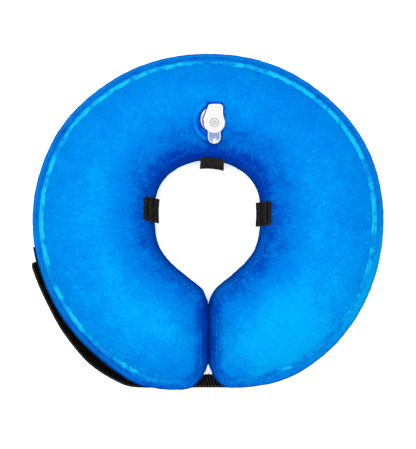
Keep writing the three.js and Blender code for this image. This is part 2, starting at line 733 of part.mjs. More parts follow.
/** A webbing loop across the neck wall. */
function loopGeometry({ turn, bulge, path }) {
  const outward = neckPoint(turn).normalize();
  const perDegree = neckPoint(turn - 0.5).distanceTo(neckPoint(turn + 0.5));
  const across = LOOP_ACROSS.map((share) => turn + share * LOOP_WIDTH / perDegree);
  const guide = new THREE.SplineCurve(LOOP_PATHS[path].map((row) => {
    const inset = NECK_SEAM_INSET * row.inset - bulge * row.bulge - LOOP_CLEARANCE * (1 - row.bulge);
    return new THREE.Vector2(inset, NECK_SEAM_HEIGHT * row.height);
  }));
  const rows = guide.getPoints(LOOP_STEPS).map((step) => across.map((at) => {
    const place = neckPoint(at).addScaledVector(outward, step.x);
    return new THREE.Vector3(place.x, place.y, MID_HEIGHT + step.y);
  }));
  const { points, triangles } = stripOf(rows);
  return thicken(points, triangles, LOOP_THICKNESS);
}

const plush = new THREE.MeshStandardMaterial({ color: "#0b7fe6", roughness: 0.85, metalness: 0 });
const seamPlush = new THREE.MeshStandardMaterial({ color: "#17b0f6", roughness: 0.8, metalness: 0 });
const webbing = new THREE.MeshStandardMaterial({ color: "#17120f", roughness: 0.75, metalness: 0 });
const hookTape = new THREE.MeshStandardMaterial({ color: "#0c0b0d", roughness: 0.8, metalness: 0 });
const clearPlastic = new THREE.MeshStandardMaterial({ color: "#eef2f6", roughness: 0.25, metalness: 0 });

const collar = new THREE.Group();

/** Adds one named piece to the collar. */
function addPiece(name, geometry, material, parent = collar) {
  const mesh = new THREE.Mesh(geometry, material);
  mesh.name = name;
  parent.add(mesh);
}

addPiece("top_panel", topPanelGeometry(), plush);
addPiece("bottom_panel", panelGeometry(-1), plush);
addPiece("outer_band", bandGeometry(stations.slice(0, neckStart), OUTER_LEVELS), plush);
addPiece("neck_band", bandGeometry(stations.slice(neckStart), NECK_LEVELS), plush);
addPiece("upper_seam", seamGeometry(1), seamPlush);
addPiece("lower_seam", seamGeometry(-1), seamPlush);
addPiece("strap", strapGeometry(), hookTape);
addPiece("landing_strip", landingStripGeometry(), hookTape);
for (const loop of LOOPS) {
  addPiece(loop.name, loopGeometry(loop), webbing);
}

const valve = new THREE.Group();
valve.position.copy(valveFrame.position);
valve.rotation.copy(valveFrame.rotation);
collar.add(valve);
addPiece("valve_body", valveBody(), clearPlastic, valve);
addPiece("valve_stopper", valveStopper(), clearPlastic, valve);

export default collar;
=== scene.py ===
"""An inflatable recovery collar, dressed over its solids.

The collar lies on its underside with the slit towards -Y. Shapes are worked out in millimetres and
scaled to metres when a mesh is made. A turn is in degrees, clockwise seen from above, from the slit:
0 is the slit, 90 the left side, 180 the back and 270 the right side.
"""
import logging
import math
from bisect import bisect_left
from dataclasses import dataclass, field
from enum import Enum
from functools import cached_property
from typing import Callable

import bmesh
import bpy
from bpy.types import Material, Node, NodeSocket, NodeTree, Object
from bmesh.types import BMesh, BMFace, BMVert
from mathutils import Matrix, Vector, noise


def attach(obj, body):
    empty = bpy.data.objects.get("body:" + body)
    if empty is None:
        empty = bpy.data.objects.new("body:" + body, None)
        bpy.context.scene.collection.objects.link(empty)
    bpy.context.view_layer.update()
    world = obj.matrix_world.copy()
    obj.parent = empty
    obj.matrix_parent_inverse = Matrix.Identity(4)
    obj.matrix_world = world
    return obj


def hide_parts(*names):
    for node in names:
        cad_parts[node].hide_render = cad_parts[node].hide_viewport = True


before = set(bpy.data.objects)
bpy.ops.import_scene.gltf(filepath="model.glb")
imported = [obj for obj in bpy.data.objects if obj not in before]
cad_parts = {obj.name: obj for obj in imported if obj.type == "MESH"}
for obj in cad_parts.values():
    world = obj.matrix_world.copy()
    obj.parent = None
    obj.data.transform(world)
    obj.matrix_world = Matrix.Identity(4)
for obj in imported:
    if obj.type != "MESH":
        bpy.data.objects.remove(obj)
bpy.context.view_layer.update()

MM = 0.001
LOG = logging.getLogger("collar")
Shader = Callable[[int, int, Vector], float]


def clamp(value: float, low: float = 0.0, high: float = 1.0) -> float:
    """A value held between two limits."""
    return max(low, min(high, value))


def lerp(start: float, end: float, share: float) -> float:
    """The value a share of the way from start to end."""
    return start + (end - start) * share


def smooth(value: float, low: float, high: float) -> float:
    """A soft step from 0 at low to 1 at high."""
    t = clamp((value - low) / (high - low))
    return t * t * (3 - 2 * t)


def bump(value: float, middle: float, width: float) -> float:
    """A soft hump of height 1 at the middle."""
    return math.exp(-((value - middle) / width) ** 2)


@dataclass(frozen=True)
class Band:
    """A soft band of painted light, painted shade or relief.

    Attributes:
        middle, width: where it lies.
        strength: how strong it is, below 0 where it is dark or sunken.
    """

    middle: float
    width: float
    strength: float

    def at(self, value: float) -> float:
        """Its strength at a value."""
        return self.strength * bump(value, self.middle, self.width)


@dataclass(frozen=True)
class Glow:
    """A soft patch of painted light on the top panel, in millimetres.

    Attributes:
        x, y: its middle.
        wide, deep: how far it spreads along X and Y.
        strength: how strong it is, below 0 where it is dark.
    """

    x: float
    y: float
    wide: float
    deep: float
    strength: float

    def at(self, point: Vector) -> float:
        """Its strength at a point."""
        return self.strength * bump(point.x, self.x, self.wide) * bump(point.y, self.y, self.deep)


def summed(bands: tuple[Band, ...], value: float) -> float:
    """The strength of several bands together at a value."""
    return sum(band.at(value) for band in bands)


def ripple(x: float, y: float, seed: float = 0.0) -> float:
    """Soft noise from about -1 to 1."""
    return noise.noise(Vector((x, y, seed)))


# Ring


@dataclass(frozen=True)
class Curve:
    """A smooth curve through the rows of a table.

    Attributes:
        turns: where each row stands.
        values: the value of each row.
    """

    turns: tuple[float, ...]
    values: tuple[float, ...]

    def slope(self, row: int) -> float:
        """How fast the curve climbs at a row."""
        before, after = max(row - 1, 0), min(row + 1, len(self.turns) - 1)
        return (self.values[after] - self.values[before]) / (self.turns[after] - self.turns[before])

    def at(self, turn: float) -> float:
        """Reads the curve.

        Args:
            turn: the place, in degrees.

        Returns:
            The value there, or that of the nearest end.
        """
        last = len(self.turns) - 1
        turn = clamp(turn, self.turns[0], self.turns[last])
        row = int(clamp(bisect_left(self.turns, turn) - 1, 0, last - 1))
        step = self.turns[row + 1] - self.turns[row]
        t = (turn - self.turns[row]) / step
        start, end = self.values[row], self.values[row + 1]
        bend = t * (1 - t) ** 2 * self.slope(row) - t * t * (1 - t) * self.slope(row + 1)
        return start + (end - start) * t * t * (3 - 2 * t) + bend * step


OUTLINE_TURNS = (0, 1, 2, 3, 4.5, 6, 9, 12, 16, 20, 25, 30, 40, 50, 60, 75, 90, 110, 125, 140, 155, 180)
OUTLINE_LEFT = Curve(OUTLINE_TURNS, (
    0.851, 0.888, 0.917, 0.94, 0.963, 0.981, 0.996, 1.005, 1.016, 1.0235, 1.027,
    1.022, 1.01, 1.002, 0.997, 0.995, 1, 0.999, 1.001, 0.996, 0.999, 1,
))
OUTLINE_RIGHT = Curve(OUTLINE_TURNS, (
    0.851, 0.888, 0.917, 0.94, 0.961, 0.975, 0.985, 0.991, 0.999, 1.008, 1.015,
    1.023, 1.023, 1.016, 1.008, 1, 1, 1.003, 1.001, 0.996, 1, 1,
))
NECK_TURNS = (0, 2, 5, 10, 20, 30, 45, 60, 75, 90, 105, 120, 135, 150, 180)
NECK_REACH = Curve(NECK_TURNS, (
    1.54, 1.405, 1.295, 1.212, 1.124, 1.073, 1.045, 1.035, 1.01, 1, 1.04, 1.11, 1.157, 1.168, 1.173,
))
NECK_DRIFT = Curve(NECK_TURNS, (0, -0.5, -1, -1.1, -0.9, -0.5, 0.15, 0.8, 1, 1, 1, 1, 1, 1, 1))
STRAP_TURNS = (-27, -20, -12, -8, -4, 0, 4, 8, 12, 17, 21, 26, 32, 40, 48, 55, 62, 70, 77)
STRAP_REACH = Curve(STRAP_TURNS, (
    1.014, 1.009, 0.998, 0.988, 0.981, 0.979, 0.981, 0.989, 1, 1.018,
    1.04, 1.066, 1.07, 1.067, 1.05, 1.038, 1.027, 1.027, 1.033,
))
STRAP_TUCK = Curve(STRAP_TURNS, (
    0.2, 0.22, 0.24, 0.26, 0.44, 0.62, 0.44, 0.22, 0.14, 0.28,
    0.5, 0.75, 0.8, 0.86, 0.83, 0.78, 0.7, 0.7, 0.76,
))


@dataclass(frozen=True)
class Section:
    """How a wall meets its seams.

    Attributes:
        inset: how far in from the widest line the seam runs.
        height: how far above the middle of the ring it runs.
        fullness: how quickly the panel climbs from it.
    """

    inset: float
    height: float
    fullness: float


OUTER_SECTION = Section(13.4, 30, 2.9)
END_SECTION = Section(10.5, 29, 2.9)
NECK_SECTION = Section(9, 28, 2.5)


@dataclass
class Station:
    """One place on the line round the panels.

    Attributes:
        edge: the point of the widest line.
        crest: the point below the crest of the ring.
        section: how the wall meets its seams here.
        lift: how far up the bulge of the wall is pushed.
        along: distance along the line.
        inward: the way from the widest line to the crest.
        reach: how far that is.
        stretch: how much longer an inset is along it than straight across the wall.
    """

    edge: Vector
    crest: Vector
    section: Section
    lift: float = 0.0
    along: float = 0.0
    inward: Vector = field(default_factory=lambda: Vector((0, 0)))
    reach: float = 1.0
    stretch: float = 1.0

    def point(self, inset: float, height: float) -> Vector:
        """A point at an inset from the widest line and a height above the middle of the ring."""
        place = self.edge + self.inward * (inset * self.stretch)
        return Vector((place.x, place.y, RING.height / 2 + height))


@dataclass(frozen=True)
class Ring:
    """The sizes of the inflated ring, in millimetres, and the lines that follow from them.

    Attributes:
        width, length, height: its size, with no dip at the slit.
        roundness: how square the oval is, 2 being an ellipse.
        neck_width, neck_shift: width of the neck hole, and how far it lies to the right.
        slit_x, slit_gap: where the slit runs, and how wide it is.
        crest_start, crest_share: the turn at which the crest ends, and its share of the way to the hole.
        wall: thickness of the cloth.
        flat_share: the share of the bottom panel that lies flat.
        seam_reach, seam_slope, seam_share: the seam's length across, its lean, and what its neighbours leave.
        lift_height: how far the bulge of the wall is pushed up above the strap.
        tip_round, end_overlap: the round of the slit's tip, and how far the end walls run on.
    """

    width: float = 406.4
    length: float = 389.6
    height: float = 100
    roundness: float = 2.05
    neck_width: float = 121.7
    neck_shift: float = -0.65
    slit_x: float = 0.5
    slit_gap: float = 0.06
    crest_start: float = 24
    crest_share: float = 0.46
    wall: float = 2
    flat_share: float = 0.3
    seam_reach: float = 2.95
    seam_slope: float = math.radians(47)
    seam_share: float = 0.35
    lift_height: float = 0.6
    tip_round: float = 0.65
    end_overlap: float = 3

    def turned(self, turn: float, radius: float) -> Vector:
        """A point at a turn and a distance from the middle."""
        return Vector((-math.sin(math.radians(turn)) * radius, -math.cos(math.radians(turn)) * radius))

    @staticmethod
    def turn_of(point: Vector) -> float:
        """The turn of a point, from -180 to 180."""
        return math.degrees(math.atan2(-point.x, -point.y))

    def oval(self, turn: float) -> float:
        """Radius of the rounded oval at a turn."""
        across = abs(math.sin(math.radians(turn)) * 2) / self.width
        along = abs(math.cos(math.radians(turn)) * 2) / self.length
        return (across ** self.roundness + along ** self.roundness) ** (-1 / self.roundness)

    def beside_slit(self, point: Vector, side: int) -> Vector:
        """Keeps a point on its own side of the slit."""
        limit = self.slit_x + side * self.slit_gap / 2
        point.x = min(point.x, limit) if side < 0 else max(point.x, limit)
        return point

    def outline(self, turn: float) -> Vector:
        """The widest line of the outer wall."""
        side = -1 if turn < 180 else 1
        from_slit = turn if side < 0 else 360 - turn
        curve = OUTLINE_LEFT if side < 0 else OUTLINE_RIGHT
        return self.beside_slit(self.turned(turn, self.oval(turn) * curve.at(from_slit)), side)

    def neck(self, turn: float) -> Vector:
        """The widest line of the neck wall."""
        side = -1 if turn < 180 else 1
        from_slit = turn if side < 0 else 360 - turn
        point = self.turned(turn, self.neck_width / 2 * NECK_REACH.at(from_slit))
        point.x += self.neck_shift * NECK_DRIFT.at(from_slit)
        return self.beside_slit(point, side)

    def crest(self, turn: float) -> Vector:
        """The place below the crest at a turn, which ends short of the slit."""
        held = clamp(turn, self.crest_start, 360 - self.crest_start)
        return self.outline(held).lerp(self.neck(held), self.crest_share)

    def lift(self, turn: float) -> float:
        """How much of the bulge of the outer wall is pushed up, above the strap."""
        from_slit = turn if turn < 180 else 360 - turn
        return self.lift_height * (1 - smooth(from_slit, 22, 38)) * smooth(from_slit, 2, 7)

    def outer_stations(self) -> list[Station]:
        """The stations of the outer wall, from the tip of the slit round to the tip again."""
        tip, apex = self.neck(0).y, self.outline(0).y
        stations = []
        for side in (-1, 1):
            start = self.crest_start if side < 0 else 360 - self.crest_start
            line = []
            for step in range(13):
                along = lerp(tip - self.tip_round, apex + self.end_overlap, step / 12)
                place = Vector((self.slit_x, along))
                section = NECK_SECTION if step == 0 else END_SECTION
                line.append(Station(self.beside_slit(place, side), self.crest(start), section))
            turn = 1.5
            while turn < self.crest_start - 1:
                where = turn if side < 0 else 360 - turn
                station = Station(self.outline(where), self.crest(start), END_SECTION, self.lift(where))
                line.append(station)
                turn *= 1.22
            stations.append(line)
        middle = []
        for step in range(115):
            turn = lerp(self.crest_start, 360 - self.crest_start, step / 114)
            middle.append(Station(self.outline(turn), self.crest(turn), OUTER_SECTION, self.lift(turn)))
        return stations[0] + middle + stations[1][::-1]

    def neck_stations(self) -> list[Station]:
        """The stations of the neck wall, from the right side of the slit's tip to the left."""
        tip = self.neck(0).y + self.tip_round
        near_slit = (2, 4, 7, 11, 15, 19.5)
        turns = [360 - turn for turn in near_slit]
        turns += [lerp(360 - self.crest_start, self.crest_start, step / 76) for step in range(77)]
        turns += near_slit[::-1]
        ends = [self.beside_slit(Vector((self.slit_x, tip)), side) for side in (1, -1)]
        stations = [Station(ends[0], self.crest(360), NECK_SECTION)]
        stations += [Station(self.neck(turn), self.crest(turn), NECK_SECTION) for turn in turns]
        return stations + [Station(ends[1], self.crest(0), NECK_SECTION)]


RING = Ring()


class Line:
    """A line of stations at even steps, worked out smoothly between coarser ones.

    A tangent is taken between the stations that stand NEIGHBOURS steps away. LEAST_ACROSS limits the
    stretch where the line runs almost along the way in, and SPREAD millimetres either way are averaged.
    """

    NEIGHBOURS = 3
    LEAST_ACROSS = 0.55
    SPREAD = 15

    def __init__(self, stations: list[Station], steps: int, closed: bool) -> None:
        """Lays the line.

        Args:
            stations: the coarse stations, in order.
            steps: how many steps the line is cut into.
            closed: whether it joins up with its own start.
        """
        self.closed = closed
        self.steps = steps
        knots = stations + ([stations[0]] if closed else [])
        rows = [self.row(here) for here in knots]
        places = [0.0]
        for before, after in zip(knots, knots[1:]):
            places.append(places[-1] + max((after.edge - before.edge).length, 1e-6))
        self.length = places[-1]
        curves = [Curve(tuple(places), tuple(row[column] for row in rows)) for column in range(len(rows[0]))]
        count = steps if closed else steps + 1
        self.stations = [self.station(curves, self.length * index / steps) for index in range(count)]
        for here in self.stations:
            here.crest = self.crest_at(places, knots, here.along)
        self.settle()

    @staticmethod
    def crest_at(places: list[float], knots: list[Station], along: float) -> Vector:
        """The crest at a distance along the line, straight between the coarse stations.

        Args:
            places: how far along each coarse station is.
            knots: the coarse stations.
            along: the distance.

        Returns:
            The point. A smooth curve would run past the place where the crest stops.
        """
        row = int(clamp(bisect_left(places, along) - 1, 0, len(places) - 2))
        share = (along - places[row]) / (places[row + 1] - places[row])
        return knots[row].crest.lerp(knots[row + 1].crest, clamp(share))

    @staticmethod
    def row(here: Station) -> tuple[float, ...]:
        """The numbers of a station that change along the line."""
        section = here.section
        return (*here.edge, *here.crest, section.inset, section.height, section.fullness, here.lift)

    @staticmethod
    def station(curves: list[Curve], along: float) -> Station:
        """A station at a distance along the line."""
        values = [curve.at(along) for curve in curves]
        edge, crest = Vector(values[0:2]), Vector(values[2:4])
        return Station(edge, crest, Section(*values[4:7]), values[7], along)

    def settle(self) -> None:
        """Works out each station's way in, and its stretch."""
        count = len(self.stations)
        stretches = []
        for index, here in enumerate(self.stations):
            first, last = index - self.NEIGHBOURS, index + self.NEIGHBOURS
            before = self.stations[first % count if self.closed else max(first, 0)]
            after = self.stations[last % count if self.closed else min(last, count - 1)]
            tangent = (after.edge - before.edge).normalized()
            across = Vector((tangent.y, -tangent.x))
            here.reach = (here.crest - here.edge).length
            here.inward = (here.crest - here.edge) / here.reach
            stretches.append(1 / max(abs(across.dot(here.inward)), self.LEAST_ACROSS))
        spread = max(round(self.SPREAD / (self.length / self.steps)), 1)
        for index, here in enumerate(self.stations):
            near = [index + offset for offset in range(-spread, spread + 1)]
            near = [k % count if self.closed else int(clamp(k, 0, count - 1)) for k in near]
            here.stretch = sum(stretches[k] for k in near) / len(near)


# Mesh helpers


class Grid:
    """A sheet of cells, spun from one column of points and then moved into place."""

    def __init__(self, steps: int, rows: int, closed: bool) -> None:
        """Spins the sheet.

        Args:
            steps: cells along.
            rows: cells across.
            closed: whether the last column is also the first.
        """
        self.mesh = bmesh.new()
        self.steps, self.rows, self.closed = steps, rows, closed
        column = [self.mesh.verts.new((1, 0, row)) for row in range(rows + 1)]
        edges = [self.mesh.edges.new(pair) for pair in zip(column, column[1:])]
        angle = math.tau if closed else math.pi
        bmesh.ops.spin(
            self.mesh, geom=column + edges, cent=(0, 0, 0), axis=(0, 0, 1), dvec=(0, 0, 0),
            angle=angle, steps=steps, use_merge=closed,
        )
        self.mesh.verts.index_update()
        self.place_of = []
        for vertex in self.mesh.verts:
            turn = math.atan2(vertex.co.y, vertex.co.x) % math.tau
            step = round(turn / angle * steps)
            self.place_of.append((step % steps if closed else min(step, steps), round(vertex.co.z)))

    def shape(self, where: Callable[[int, int], Vector]) -> None:
        """Moves every point to where a function of its step and row puts it."""
        for vertex, (step, row) in zip(self.mesh.verts, self.place_of):
            vertex.co = where(step, row)

    def paint(self, name: str, value: Shader) -> None:
        """Writes a value on every point, for the materials to read."""
        layer = self.mesh.verts.layers.float.new(name)
        for vertex, (step, row) in zip(self.mesh.verts, self.place_of):
            vertex[layer] = value(step, row, vertex.co)

    def unwrap(self, flat: Callable[[int, int], tuple[float, float]]) -> None:
        """Lays the sheet out flat, in metres, as its UV map.

        Args:
            flat: gives a step and row's place on the cloth, in millimetres.
        """
        layer = self.mesh.loops.layers.uv.new("Cloth")
        for face in self.mesh.faces:
            cells = [self.place_of[loop.vert.index] for loop in face.loops]
            wraps = self.closed and max(step for step, _ in cells) - min(step for step, _ in cells) > 1
            for loop, (step, row) in zip(face.loops, cells):
                u, v = flat(self.steps if wraps and step == 0 else step, row)
                loop[layer].uv = (u * MM, v * MM)

    def face_out(self, middle: Callable[[Vector], Vector]) -> None:
        """Turns all faces to look away from a middle that is given for a point.

        Args:
            middle: the point inside the ring that is nearest to a place.
        """
        self.mesh.normal_update()
        centres = [(face.calc_center_median(), face.normal) for face in list(self.mesh.faces)[::37]]
        facing = sum((centre - middle(centre)).dot(normal) for centre, normal in centres)
        if facing < 0:
            bmesh.ops.reverse_faces(self.mesh, faces=self.mesh.faces)
        self.mesh.normal_update()


def thickened(
    mesh: BMesh, thickness: float, inner: Callable[[Vector], float] | None = None,
) -> None:
    """Gives an open sheet a thickness, on the side away from its faces.

    Args:
        mesh: the sheet, with its faces looking out.
        thickness: how thick it gets.
        inner: how much further the inner face stands off at a point, or none.
    """
    mesh.normal_update()
    normals = {vertex: vertex.normal.copy() for vertex in mesh.verts}
    made = bmesh.ops.extrude_face_region(mesh, geom=list(mesh.faces), use_keep_orig=True)
    fresh = [item for item in made["geom"] if isinstance(item, BMVert)]
    mesh.verts.ensure_lookup_table()
    near = {tuple(round(c, 5) for c in vertex.co): normal for vertex, normal in normals.items()}
    for vertex in fresh:
        normal = near[tuple(round(c, 5) for c in vertex.co)]
        extra = inner(vertex.co) if inner else 0.0
        vertex.co = vertex.co - normal * (thickness + extra)
    bmesh.ops.recalc_face_normals(mesh, faces=mesh.faces)


def finished(
    mesh: BMesh, name: str, material: Material, sharp: float = 180,
) -> Object:
    """Scales a mesh to metres and makes it a piece of the scene.

    Args:
        mesh: the mesh in millimetres, which is freed.
        name: the name of the piece.
        material: what it is dressed in.
        sharp: the angle in degrees from which an edge stays sharp.

    Returns:
        The new object.
    """
    bmesh.ops.scale(mesh, vec=(MM, MM, MM), verts=mesh.verts)
    data = bpy.data.meshes.new(name)
    mesh.to_mesh(data)
    mesh.free()
    data.materials.append(material)
    data.shade_smooth()
    if sharp < 180:
        data.set_sharp_from_angle(angle=math.radians(sharp))
    piece = bpy.data.objects.new(name, data)
    bpy.context.scene.collection.objects.link(piece)
    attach(piece, "root")
    return piece


# Materials


class Tone(Enum):
    """The colours of the collar. Several are one colour in painted shade and painted light, which the
    materials pick by a painted attribute.
    """

    # The plush as painted shade at its edges, then shaded, half lit and lit: one blue under several
    # lightings.
    PLUSH_EDGE_SHADE = (0.0002, 0.006, 0.070)
    PLUSH_SHADED = (0.0002, 0.034, 0.370)
    PLUSH_HALF_LIT = (0.0003, 0.168, 0.590)
    PLUSH_LIT = (0.0004, 0.290, 0.680)
    # The ridge's pile as painted shade and as a painted highlight.
    RIDGE_SHADED = (0.0010, 0.235, 0.600)
    RIDGE_HIGHLIGHT = (0.0050, 0.410, 0.680)
    TAPE = (0.0016, 0.0014, 0.0018)
    # Painted highlight on the strap's and strip's ribs, also their worn patches.
    TAPE_HIGHLIGHT_AND_WEAR = (0.075, 0.064, 0.058)
    WEB_DARK = (0.0040, 0.0038, 0.0040)
    # Painted highlight on the webbing's ribs, also its worn edges and patches.
    WEB_HIGHLIGHT_AND_WEAR = (0.050, 0.040, 0.033)
    VINYL = (0.70, 0.70, 0.71)
    # Painted shade for the cap's grooves and the tongue's sunken middle.
    VINYL_SHADE = (0.40, 0.375, 0.36)
    # Painted shadow in the gap between the flange and the stopper.
    VINYL_GAP_SHADOW = (0.035, 0.018, 0.045)
    VINYL_THIN = (0.24, 0.32, 0.60)
    FLOOR = (0.93, 0.93, 0.93)


class Nodes:
    """A short way of laying out the nodes of a material or a group."""

    def __init__(self, tree: NodeTree) -> None:
        """Starts on a node tree."""
        self.tree = tree

    def add(self, kind: str, settings: dict[str, object] | None = None, **inputs: object) -> Node:
        """Adds a node.

        Args:
            kind: the node's type without its ShaderNode prefix.
            settings: properties of the node.
            **inputs: values or sockets for its inputs, by name, or by i and their number.

        Returns:
            The new node.
        """
        node = self.tree.nodes.new("ShaderNode" + kind)
        for name, value in (settings or {}).items():
            setattr(node, name, value)
        return self.fill(node, **inputs)

    def fill(self, node: Node, **inputs: object) -> Node:
        """Feeds a node's inputs, by name with underscores for spaces, or by i and their number."""
        for name, value in inputs.items():
            key = int(name[1:]) if name[0] == "i" and name[1:].isdigit() else name.replace("_", " ")
            self.feed(node.inputs[key], value)
        return node

    def attribute(self, name: str) -> NodeSocket:
        """A value that is written on the points of the mesh."""
        return self.add("Attribute", {"attribute_name": name}).outputs["Fac"]

    def cloth(self) -> NodeSocket:
        """The piece's own UV map."""
        return self.add("UVMap", {"uv_map": "Cloth"}).outputs[0]

    def feed(self, socket: NodeSocket, value: object) -> None:
        """Links a socket to another, or sets its value."""
        if isinstance(value, NodeSocket):
            self.tree.links.new(value, socket)
        else:
            socket.default_value = value

    def math(self, operation: str, a: object, b: object = 0.0, hold: bool = False) -> NodeSocket:
        """A sum of two values or sockets."""
        return self.add("Math", {"operation": operation, "use_clamp": hold}, i0=a, i1=b).outputs[0]

    def ramp(
        self, value: object, low: float, high: float, to_low: float = 0.0, to_high: float = 1.0,
    ) -> NodeSocket:
        """A value taken smoothly from one range to another."""
        settings = {"interpolation_type": "SMOOTHSTEP"}
        return self.add("MapRange", settings, i0=value, i1=low, i2=high, i3=to_low, i4=to_high).outputs[0]

    def mix(self, share: object, a: object, b: object) -> NodeSocket:
        """A colour between two."""
        node = self.add("Mix", {"data_type": "RGBA"}, i0=share, i6=a, i7=b)
        return node.outputs[2]

    def noise(
        self, vector: object, scale: float, detail: float = 2.0, rough: float = 0.5,
    ) -> NodeSocket:
        """Soft noise, from 0 to 1."""
        values = {"Vector": vector, "Scale": scale, "Detail": detail, "Roughness": rough}
        return self.add("TexNoise", None, **values).outputs[0]

    def relief(self, height: object, strength: float, depth: float) -> NodeSocket:
        """Normals bumped by a height, its depth in metres."""
        return self.add("Bump", None, Strength=strength, Distance=depth, Height=height).outputs[0]

    def drawn(
        self, vector: object, longer: tuple[float, float, float], turn: float = 0.0,
    ) -> NodeSocket:
        """Coordinates that draw a pattern out along its own turned axes."""
        turned = (0, 0, math.radians(turn))
        settings = {"vector_type": "TEXTURE"}
        return self.add("Mapping", settings, Vector=vector, Scale=longer, Rotation=turned).outputs[0]


def colour(tone: Tone) -> tuple[float, float, float, float]:
    """A tone as a colour for a socket."""
    return (*tone.value, 1.0)


@dataclass(frozen=True)
class NapGroup:
    """The brushed pile of the plush: short hairs that lie in patches of three directions.

    Attributes:
        hair, length: hairs to a metre, and how many times longer than wide they are.
        patch, lies: patches to a metre, and the way the hairs lie in each kind, in degrees.
        strand, strand_length: the same of combed strands.
        cloud: lighter and darker spots to a metre.
        swirl: how far the hairs bend, in metres.
    """

    hair: float = 640
    length: float = 4.0
    patch: float = 30
    lies: tuple[float, ...] = (38, -38, 84)
    strand: float = 430
    strand_length: float = 5.5
    cloud: float = 46
    swirl: float = 0.009

    def build(self) -> NodeTree:
        """Makes the node group.

        Returns:
            A group that puts out the height of the pile and how light its patches lie.
        """
        group = bpy.data.node_groups.new("Nap", "ShaderNodeTree")
        for name in ("Object", "Cloth"):
            group.interface.new_socket(name, in_out="INPUT", socket_type="NodeSocketVector")
        group.interface.new_socket("Combed", in_out="INPUT", socket_type="NodeSocketFloat")
        for name in ("Height", "Patch"):
            group.interface.new_socket(name, in_out="OUTPUT", socket_type="NodeSocketFloat")
        nodes = Nodes(group)
        inputs = nodes.tree.nodes.new("NodeGroupInput")
        outputs = nodes.tree.nodes.new("NodeGroupOutput")
        place, cloth, combed = inputs.outputs[0], inputs.outputs[1], inputs.outputs[2]
        drift = nodes.add("TexNoise", None, Vector=place, Scale=60.0, Detail=2.0).outputs["Color"]
        swirl = nodes.add("VectorMath", {"operation": "SCALE"}, i0=drift, Scale=self.swirl).outputs[0]
        warped = nodes.add("VectorMath", {"operation": "ADD"}, i0=place, i1=swirl).outputs[0]
        hairs = []
        for turn in self.lies:
            laid = nodes.drawn(warped, (1, self.length, 1.5), turn)
            hairs.append(nodes.noise(laid, self.hair, 1.5, 0.5))
        first = nodes.ramp(nodes.noise(place, self.patch, 1.5), 0.44, 0.56)
        aside = nodes.drawn(place, (1, 1, 1), 50)
        second = nodes.ramp(nodes.noise(aside, self.patch * 0.8, 1.5), 0.5, 0.62)
        blend = nodes.add("Mix", None, i0=first, i2=hairs[0], i3=hairs[1]).outputs[0]
        blend = nodes.add("Mix", None, i0=second, i2=blend, i3=hairs[2]).outputs[0]
        combed_cloth = nodes.drawn(cloth, (1, self.strand_length, 1))
        strands = nodes.noise(combed_cloth, self.strand, 3.0, 0.6)
        height = nodes.add("Mix", None, i0=combed, i2=blend, i3=strands).outputs[0]
        nodes.fill(outputs, Height=height, Patch=nodes.noise(place, self.cloud, 4.0, 0.62))
        return group


@dataclass(frozen=True)
class RibGroup:
    """The ribs of woven tape, which run across or along its UV map.

    Attributes:
        cross: ribs to a metre across.
        fuzz: loose fibres to a metre.
        worn: worn patches to a metre.
    """

    cross: float = 900
    fuzz: float = 2600
    worn: float = 260

    def build(self) -> NodeTree:
        """Makes the node group.

        Returns:
            A group that puts out the height of the weave and its wear.
        """
        group = bpy.data.node_groups.new("Ribs", "ShaderNodeTree")
        group.interface.new_socket("Cloth", in_out="INPUT", socket_type="NodeSocketVector")
        group.interface.new_socket("Ribs", in_out="INPUT", socket_type="NodeSocketFloat")
        for name in ("Height", "Wear"):
            group.interface.new_socket(name, in_out="OUTPUT", socket_type="NodeSocketFloat")
        nodes = Nodes(group)
        inputs = nodes.tree.nodes.new("NodeGroupInput")
        outputs = nodes.tree.nodes.new("NodeGroupOutput")
        cloth, ribs = inputs.outputs[0], inputs.outputs[1]
        parts = nodes.add("SeparateXYZ", None, i0=cloth).outputs
        long_wave = nodes.math("SINE", nodes.math("MULTIPLY", parts[0], ribs))
        cross_wave = nodes.math("SINE", nodes.math("MULTIPLY", parts[1], self.cross * math.tau))
        cross_share = nodes.math("ADD", nodes.math("MULTIPLY", cross_wave, 0.35), 0.8)
        weave = nodes.math("MULTIPLY", long_wave, cross_share)
        fuzz = nodes.noise(cloth, self.fuzz, 2.0)
        height = nodes.math("ADD", nodes.math("MULTIPLY", weave, 0.5), nodes.math("MULTIPLY", fuzz, 0.6))
        wear = nodes.noise(nodes.drawn(cloth, (2.4, 1, 1)), self.worn, 4.0, 0.65)
        nodes.fill(outputs, Height=height, Wear=nodes.ramp(wear, 0.4, 0.72))
        return group


class Groups:
    """The node groups that several materials use, each built once."""

    def __init__(self) -> None:
        """Builds the groups."""
        self.nap = NapGroup().build()
        self.ribs = RibGroup().build()


def new_material(name: str) -> tuple[Material, Nodes, Node]:
    """Starts a material.

    Args:
        name: its name.

    Returns:
        The material, its nodes and its surface shader.
    """
    material = bpy.data.materials.new(name)
    material.use_nodes = True
    nodes = Nodes(material.node_tree)
    return material, nodes, material.node_tree.nodes["Principled BSDF"]


def placed_group(nodes: Nodes, group: NodeTree, **inputs: object) -> Node:
    """Adds a node group to a material with its own values."""
    node = nodes.tree.nodes.new("ShaderNodeGroup")
    node.node_tree = group
    return nodes.fill(node, **inputs)


